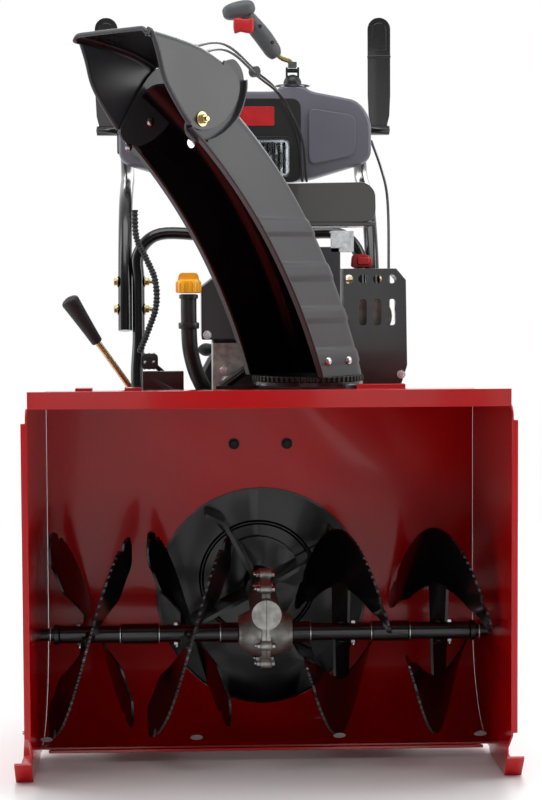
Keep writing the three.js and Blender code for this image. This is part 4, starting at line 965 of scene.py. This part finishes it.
# Heat-proof silicone rubber, bright red and satin.
red_silicone = finish("red_silicone_rubber", "#C3151B", "#B01016", 20, (0.35, 0.5), 1.5, 0.04)
boot = bmesh.new()
slab(boot, corner_round([(161, 720.5), (163, 742), (184, 744), (195, 736), (195, 720.5)], 6, 4), 640, 668)
slab(boot, rounded(170, 725, 190, 738, 4, 4), 632, 642)
piece("spark_plug_boot", boot, "chassis", red_silicone, bevel=2.2, segments=3)
screws = bmesh.new()
for across, depth, height in ((-79, 606, 612), (-53, 622, 554), (48, 606, 618), (-50, 560, 540),
                              (58, 560, 536),
                              (240, 610, 545), (158, 610, 545), (-66, 560, 420), (70, 560, 420)):
    hex_bolt(screws, place(across, depth, height), (0, -1, 0), 9, 4.5)
for step in range(6):
    angle = math.radians(30 + 60 * step)
    hex_bolt(screws, place(CRANK_ACROSS + 86 * math.cos(angle), 858, CRANK_HEIGHT + 86 * math.sin(angle)),
             (0, 1, 0), 8, 4)
piece("engine_screws", screws, "chassis", bright_zinc, bevel=0.25)

# ---- handles ----
# Bent 25 mm steel tubes bolted to a welded hoop, in black enamel.
# Ribbed rubber grips are pushed on the ends.


def ribbed_grip_size(t):
    """A handlebar grip's radius: a collar, twenty-four ribs and a rounded end."""
    ribs = 17 if t < 0.05 else 15.6 + 1.2 * abs(math.sin(24 * math.pi * t))
    return ribs * (1 if t < 0.95 else math.sqrt(max(0.02, 1 - ((t - 0.95) / 0.05) ** 2)))


hoop = bmesh.new()
foot = 131
HOOP = []
for side in (-1, 1):
    run = [(side * foot, 888, 346), (side * (foot + 2), 890, 396), (side * 165, 896, 450)]
    run += [(side * 198, 905, 500), (side * 198, 925, 600), (side * 198, 940, 700), (side * 198, 948, 745)]
    run.append((side * 168, 952, 779))
    HOOP += run + [(-60, 953, 779)] if side < 0 else [(60, 953, 779)] + run[::-1]
sweep(hoop, smooth_path([place(*p) for p in HOOP], 8), 11, 28)
piece("handle_hoop_bent", hoop, "chassis", black_enamel, stands_for="handle_hoop")
handle_bolts = bmesh.new()
lever_depth = 1250
for name, side in (("left", -1), ("right", 1)):
    tube = bmesh.new()
    low, high = 221.8, 226
    run = [(low, 925, 610), (low, 940, 690), (low, 975, 770), (low, 1040, 838), (low, 1130, 872),
           (low, 1190, 893),
           (high, 1290, 962), (high, 1370, 988), (high, 1474, 1000)]
    sweep(tube, smooth_path([place(side * x, y, z) for x, y, z in run], 8), 12.5, 28)
    slab(tube, corner_round([(side * 228, 940), (side * 228, 968), (side * 236, 971), (side * 236, 1001),
                             (side * 243, 1001), (side * 243, 940)], 3, 3), lever_depth - 10,
                             lever_depth + 10)
    turned(tube, [(0, 0), (4, 0), (4, 44), (3, 45), (0, 45)], place(side * 238, lever_depth, 985),
           (side, 0, 0), 20)
    piece(f"handle_tube_{name}_bent", tube, "chassis", black_enamel, stands_for=f"handle_tube_{name}",
          crease=40)
    for height in (648, 697):
        depth = 932 if height < 670 else 940
        hex_bolt(handle_bolts, place(side * 187.2, depth, height), (-side, 0, 0), 13, 7, stub=8)
        hex_bolt(handle_bolts, place(side * 234.2, depth, height), (side, 0, 0), 13, 6)
    grip = bmesh.new()
    start, stop = Vector((side * 226, 1376, 989.2)), Vector((side * 226, 1479.5, 1000.4))
    count = 90
    path = [place(*(start.lerp(stop, k / count))) for k in range(count + 1)]
    sweep(grip, path, ribbed_grip_size, 26)
    piece(f"grip_{name}_ribbed", grip, "chassis", rubber_hose, stands_for=f"grip_{name}")
piece("handle_bolts", handle_bolts, "chassis", yellow_zinc, bevel=0.3)

# Dead-man levers are glossy moulded paddles that turn on a pin beside each grip.

# Polished black ABS: near black with small sharp lights.
gloss_moulding = finish("gloss_black_abs", "#0E0E10", "#161618", 60, (0.12, 0.2), 4, 0.03,
                        {"Coat Weight": 0.3})
for name, side in (("left", -1), ("right", 1)):
    lever = bmesh.new()
    turned(lever, [(4.3, 0), (9, 0), (10, 1), (10, 38.6), (9, 39.6), (4.3, 39.6), (4.3, 0)],
           place(side * 242.6, lever_depth, 985), (side, 0, 0), 32)
    blade = [(side * 262 - 14, 987), (side * 262 + 14, 987), (side * 262 + 20, 1012), (side * 262 + 21.8,
                                                                                       1050)]
    for step in range(15):
        angle = math.pi * step / 14
        blade.append((side * 262 + 22 * math.cos(angle), 1178 + 22 * math.sin(angle)))
    blade += [(side * 262 - 21.8, 1050), (side * 262 - 20, 1012)]
    slab(lever, blade, lever_depth - 4.6, lever_depth + 4.6)
    rib = [(side * 262 + 14 * math.cos(math.pi * s / 10),
            1176 + 14 * math.sin(math.pi * s / 10)) for s in range(11)]
    slab(lever, rib + [(side * 262 - 14, 1136), (side * 262 + 14, 1136)], lever_depth - 6.6, lever_depth)
    slab(lever, corner_round([(side * 262 - 22.6, 1122), (side * 262 - 22.6, 1128), (side * 262 + 22.6,
                                                                                     1128),
                              (side * 262 + 22.6, 1122)], 2, 2), lever_depth - 6, lever_depth + 6)
    piece(f"control_lever_{name}_moulded", lever, f"lever_{name}", gloss_moulding,
          stands_for=f"control_lever_{name}", bevel=1.6, segments=3, crease=45)

# ---- dash panel ----
# A structural-foam moulding between the handles, with the lamp, the lever slot and the joystick in it.
# A plain red band lies above the lamp.

# Satin grey ABS with a faint lilac cast and a soft, slightly uneven shine.
panel_moulding = finish("satin_grey_abs", "#63616B", "#595761", 200, (0.3, 0.4), 2, 0.08)
panel_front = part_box("headlight_lens")[0].y / MM - LIP / MM + 3
PANEL = [(-237, 919), (-237, 998), (-212, 1034), (-120, 1051), (55, 1051), (72, 1062), (108, 1062),
         (125, 1051),
         (212, 1034), (237, 998), (237, 919), (120, 884), (60, 878), (-60, 878), (-120, 884)]
panel = bmesh.new()
panel_round = corner_round(PANEL, 22, 5)
layers = []
for depth, shrink in ((panel_front + 65, 1.0), (panel_front + 22, 1.0), (panel_front + 12, 0.995),
                      (panel_front + 5, 0.982), (panel_front + 1, 0.955), (panel_front, 0.93)):
    layers.append([panel.verts.new(place(x * (1 - (1 - shrink) * 0.45), depth, 964 + (z - 964) * shrink))
                   for x, z in panel_round])
skin(panel, layers, caps=False)
panel.faces.new(layers[-1])
inside = []
for depth in (panel_front + 4.5, panel_front + 65):
    inside.append([panel.verts.new(place(x * 0.975, depth, 964 + (z - 964) * 0.94)) for x, z in panel_round])
panel.faces.new(list(reversed(inside[0])))
skin(panel, inside, caps=False)
for k in range(len(panel_round)):
    n = (k + 1) % len(panel_round)
    panel.faces.new((layers[0][k], layers[0][n], inside[1][n], inside[1][k]))
for outer, inner in ((-214, -128), (206, 118)):
    facet = [(outer, 930), (outer, 1004), (inner, 1018), (inner, 912)]
    slab(panel, corner_round(facet, 16, 5), panel_front - 5, panel_front + 3)
piece("dash_panel_moulded", panel, "chassis", panel_moulding, stands_for="dash_panel", bevel=2.4,
      segments=3, crease=38)
bezel = bmesh.new()
slab(bezel, rounded(-98, 880, 104, 1036, 20, 6), panel_front - 2.5, panel_front + 3)
turned(bezel, [(26, 0), (33, 0), (32, 1.8), (30, 2.6), (27, 2.4), (26, 0)], place(90, 1150, 1060.5),
       (0, 0, 1), 40)
slab(bezel, rounded(-80, 885, 87, 965, 14, 6), panel_front - 5, panel_front + 2)
piece("dash_bezel", bezel, "chassis", black_moulding, bevel=1.5, segments=3)
band = bmesh.new()
slab(band, rounded(-12, 985, 54, 1021, 3, 3), panel_front - 3.6, panel_front)
piece("dash_band", band, "chassis", red_silicone, bevel=0.5)
# Vacuum-metallised reflector behind a fluted clear polycarbonate lens.
reflector_metal = finish("metallised_reflector", "#D9DCDE", "#C4C8CB", 12, (0.08, 0.16), 3, 0.02,
                         {"Metallic": 1.0})
reflector = bmesh.new()
slab(reflector, rounded(-73, 892, 80, 958, 12, 5), panel_front - 5.6, panel_front - 4.6)
for centre in (-36, 43):
    turned(reflector, [(0, 0), (9, 0.4), (18, 2.2), (28, 5), (30, 5.2), (30, 0)],
           place(centre, panel_front - 5.4, 925), (0, -1, 0), 40)
piece("lamp_reflector", reflector, "chassis", reflector_metal)
# Clear polycarbonate: colourless, with a wet glint on each flute.
clear_lens = finish("clear_polycarbonate", "#F2F6F8", "#E9EFF2", 40, (0.03, 0.06), 6, 0.05,
                    {"Transmission Weight": 1.0, "IOR": 1.58})
lens = bmesh.new()
slab(lens, rounded(-75, 890, 82, 960, 12, 6), panel_front - 12, panel_front - 10.4)
for count in range(15):
    across = -68 + 10 * count
    flute = [(across + 3 * math.cos(math.pi * s / 6),
              -12 - 1.2 * math.sin(math.pi * s / 6)) for s in range(7)]
    rows = [[lens.verts.new(place(x, panel_front + y, z)) for x, y in flute] for z in (896, 954)]
    skin(lens, rows)
piece("headlight_lens_fluted", lens, "chassis", clear_lens, stands_for="headlight_lens", bevel=0.4)

# ---- joystick and levers ----
# A two-piece grip screwed together round a bent zinc rod, on a ball that turns the chute and tilts its hood.
gimbal = bmesh.new()
STICK_ACROSS, STICK_DEPTH = 90, 1150
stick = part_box("joystick_gimbal")[0].z / MM + 17
turned(gimbal, [(17 * math.sin(math.pi * s / 18), -17 * math.cos(math.pi * s / 18)) for s in range(19)],
       place(STICK_ACROSS, STICK_DEPTH, stick), (0, 0, 1), 40)
for side in (-1, 1):
    ear = rounded(STICK_ACROSS + side * 9, stick, STICK_ACROSS + side * 12.5, stick + 30, 1.2, 2)
    slab(gimbal, ear, STICK_DEPTH - 6, STICK_DEPTH + 6)
turned(gimbal, [(0, -12.5), (4, -12.5), (4, 12.5), (0, 12.5)], place(STICK_ACROSS, STICK_DEPTH,
                                                                     stick + 24), (1, 0, 0), 20)
piece("joystick_gimbal_moulded", gimbal, "gimbal", black_moulding, stands_for="joystick_gimbal")
# Glass-filled polyamide with a fine moulded texture: mid grey and matt.
grip_moulding = finish("textured_grey_polyamide", "#55575A", "#4A4C4F", 60, (0.42, 0.55), 1.4, 0.1)


def at_stick(x, y, z):
    """A point measured in millimetres from the middle of the joystick's ball."""
    return place(STICK_ACROSS + x, STICK_DEPTH + y, stick + z)


grip = bmesh.new()
spine = smooth_path([at_stick(*p) for p in ((-30, -7, 50), (-54, -16, 84), (-80, -26, 114),
                                            (-94, -31, 130))], 10)


def grip_size(t):
    """The grip's radius a share t of the way up: narrowest at its foot and fullest below the head."""
    return 15.4 + 1.6 * math.sin(math.pi * min(1, t * 1.4)) - 5 * max(0.0, 1 - t / 0.12) ** 2


sweep(grip, spine, grip_size, 28)
head_turn = Matrix.Rotation(0.25, 3, "Y")
rings = []
for step in range(1, 20):
    angle = math.pi * step / 20
    ring = []
    for k in range(28):
        turn = 2 * math.pi * k / 28
        square = 1 / (abs(math.cos(turn)) ** 2.6 + abs(math.sin(turn)) ** 2.6) ** (1 / 2.6)
        local = Vector((-31 * math.copysign(abs(math.cos(angle)) ** 0.8, math.cos(angle)),
                        20 * math.sin(angle) ** 0.7 * math.cos(turn) * square,
                        16.5 * math.sin(angle) ** 0.7 * math.sin(turn) * square))
        ring.append(grip.verts.new(at_stick(-101, -34, 133) + (head_turn.inverted() @ local) * MM))
    rings.append(ring)
skin(grip, rings)
knuckle = [(-8, 29.2), (-8, 40), (8, 40), (8, 29.2)]
slab(grip, corner_round([(STICK_ACROSS + x, stick + z) for x, z in knuckle], 2, 3), STICK_DEPTH - 8,
     STICK_DEPTH + 8)
piece("joystick_moulded", grip, "joystick", grip_moulding, stands_for="joystick", bevel=0.5, crease=50)
stalk = bmesh.new()
sweep(stalk, smooth_path([at_stick(*p) for p in ((0, 0, 36), (-6, -1, 42), (-20, -4, 47),
                                                 (-38, -10, 62))], 8), 5, 20)
piece("joystick_rod", stalk, "joystick", yellow_zinc)
grip_screws = bmesh.new()
for share in (0.2, 0.5, 0.86):
    spot = spine[int(share * (len(spine) - 1))] + Vector((5, -14.2, 3)) * MM
    turned(grip_screws, [(0, 0), (3.4, 0), (3.4, 2.2), (1.4, 2.2), (1.4, 1), (0, 1)], spot,
           (0.25, -1, 0.1), 20)
piece("joystick_screws", grip_screws, "joystick", black_steel)
trigger = bmesh.new()
curve = [(-19, 12), (-10, 14), (4, 12.5), (16, 14), (18, 6), (17, -11), (8, -14), (-6, -11.5), (-18, -13)]
base = at_stick(-92, 0, 102)
outline = eased(curve, 4)
rows = []
for depth, scale_in in ((-50.6, 1), (-54, 1), (-57, 0.9), (-58, 0.72)):
    rows.append([trigger.verts.new(base + Vector((x * scale_in, depth, z * scale_in)) * MM) for x,
                 z in outline])
skin(trigger, rows)
piece("joystick_trigger_moulded", trigger, "trigger", red_silicone, stands_for="joystick_trigger", crease=50)

speed = bmesh.new()
pivot = place(-110, panel_front + 40, 1010)
turned(speed, [(0, 0), (4, 0), (4, 84), (8, 86), (12.5, 92), (15, 100), (13.5, 108), (8, 112.4), (0, 113)],
       pivot, (0, 0, 1), 36)
piece("speed_lever_turned", speed, "speed_lever", gloss_moulding, stands_for="speed_lever")

side_rod = bmesh.new()
lever_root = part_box("side_lever")[1]
turned(side_rod, [(0, 0), (13, 0), (14, 1), (14, 11), (13, 12), (0, 12)],
       Vector((lever_root.x, LIP + 0.585, 0.38)),
       (-1, 0, 0), 32)
SIDE_ROD = [(-126.3, 585, 380), (-136, 578, 412), (-170, 548, 476), (-206, 520, 535), (-262, 505, 616)]
sweep(side_rod, smooth_path([place(*p) for p in SIDE_ROD]), 5, 20)
piece("side_lever_rod", side_rod, "side_lever", yellow_zinc, stands_for="side_lever")


def lever_grip_size(t):
    """The side lever's grip, from its neck to its rounded top."""
    neck = 0.8 if t < 0.025 else 1
    top = 1 if t < 0.9 else math.sqrt(max(0.05, 1 - ((t - 0.9) / 0.1) ** 2.2))
    return (9 + 6.4 * t ** 1.2) * neck * top


handle = bmesh.new()
low, high = place(-254, 506.4, 604), place(-300, 494, 676)
path = [low.lerp(high, k / 40) for k in range(41)]
sweep(handle, path, lever_grip_size, 28)
piece("side_lever_grip", handle, "side_lever", rubber_hose)

# ---- cables and loom ----
# Bowden cables in smooth black sheaths and a wiring loom in corrugated split tube.
# They are clipped along the handles.

# Extruded PVC: smooth black with a narrow line of light along it.
sheath = finish("black_pvc_sheath", "#111113", "#1A1A1C", 40, (0.25, 0.4), 2, 0.02)
CABLES = {
    "control_cable_upper": [(106, 1112, 880), (98, 1104, 962), (66, 1060, 1030), (5, 800, 1062),
                            (-40, 560, 1075),
                            (-69, 400, 1066), (-96, 300, 1050), (-112, 262, 1040)],
    "control_cable_lower": [(114, 1112, 880), (106, 1104, 956), (76, 1060, 1018), (10, 800, 1052),
                            (-34, 560, 1064),
                            (-62, 400, 1056), (-88, 300, 1040), (-104, 262, 1030)],
}
for name, run in CABLES.items():
    cable = bmesh.new()
    path = smooth_path([place(*p) for p in run], 12)
    sweep(cable, path, 2.5, 12)
    sweep(cable, path[-12:], 4.2, 14)
    if name.endswith("upper"):
        middle = (path[36] + place(10, 800, 1052)) / 2
        sweep(cable, [middle + Vector((0.004, -0.004, 0)) * t for t in (-1, -0.4, 0.4, 1)], 9.5, 12)
    piece(name + "_sheathed", cable, ("chassis", "turret", place(*run[1]), place(*run[-1])), sheath,
          stands_for=name)
drive = bmesh.new()
DRIVE = [(242, 1190, 960), (252, 1100, 905), (256, 1020, 850), (250, 930, 720), (240, 860, 560),
         (226, 800, 440)]
sweep(drive, smooth_path([place(*p) for p in DRIVE], 12), 2.5, 12)
piece("drive_cable_sheathed", drive, "chassis", sheath, stands_for="drive_cable")
loom = bmesh.new()
LOOM = [(-203, 915, 824), (-200, 912, 775), (-184, 905, 740), (-168, 896, 702), (-166, 886, 655),
        (-180, 880, 612),
        (-196, 872, 573)]
loom_path = smooth_path([place(*p) for p in LOOM], 34)
sweep(loom, loom_path, lambda t: 5.3 + 0.7 * math.copysign(1, math.sin(t * math.pi * 88)), 18)
piece("wiring_loom_corrugated", loom, "chassis", rubber_hose, stands_for="wiring_loom", crease=60)

bpy.context.view_layer.update()
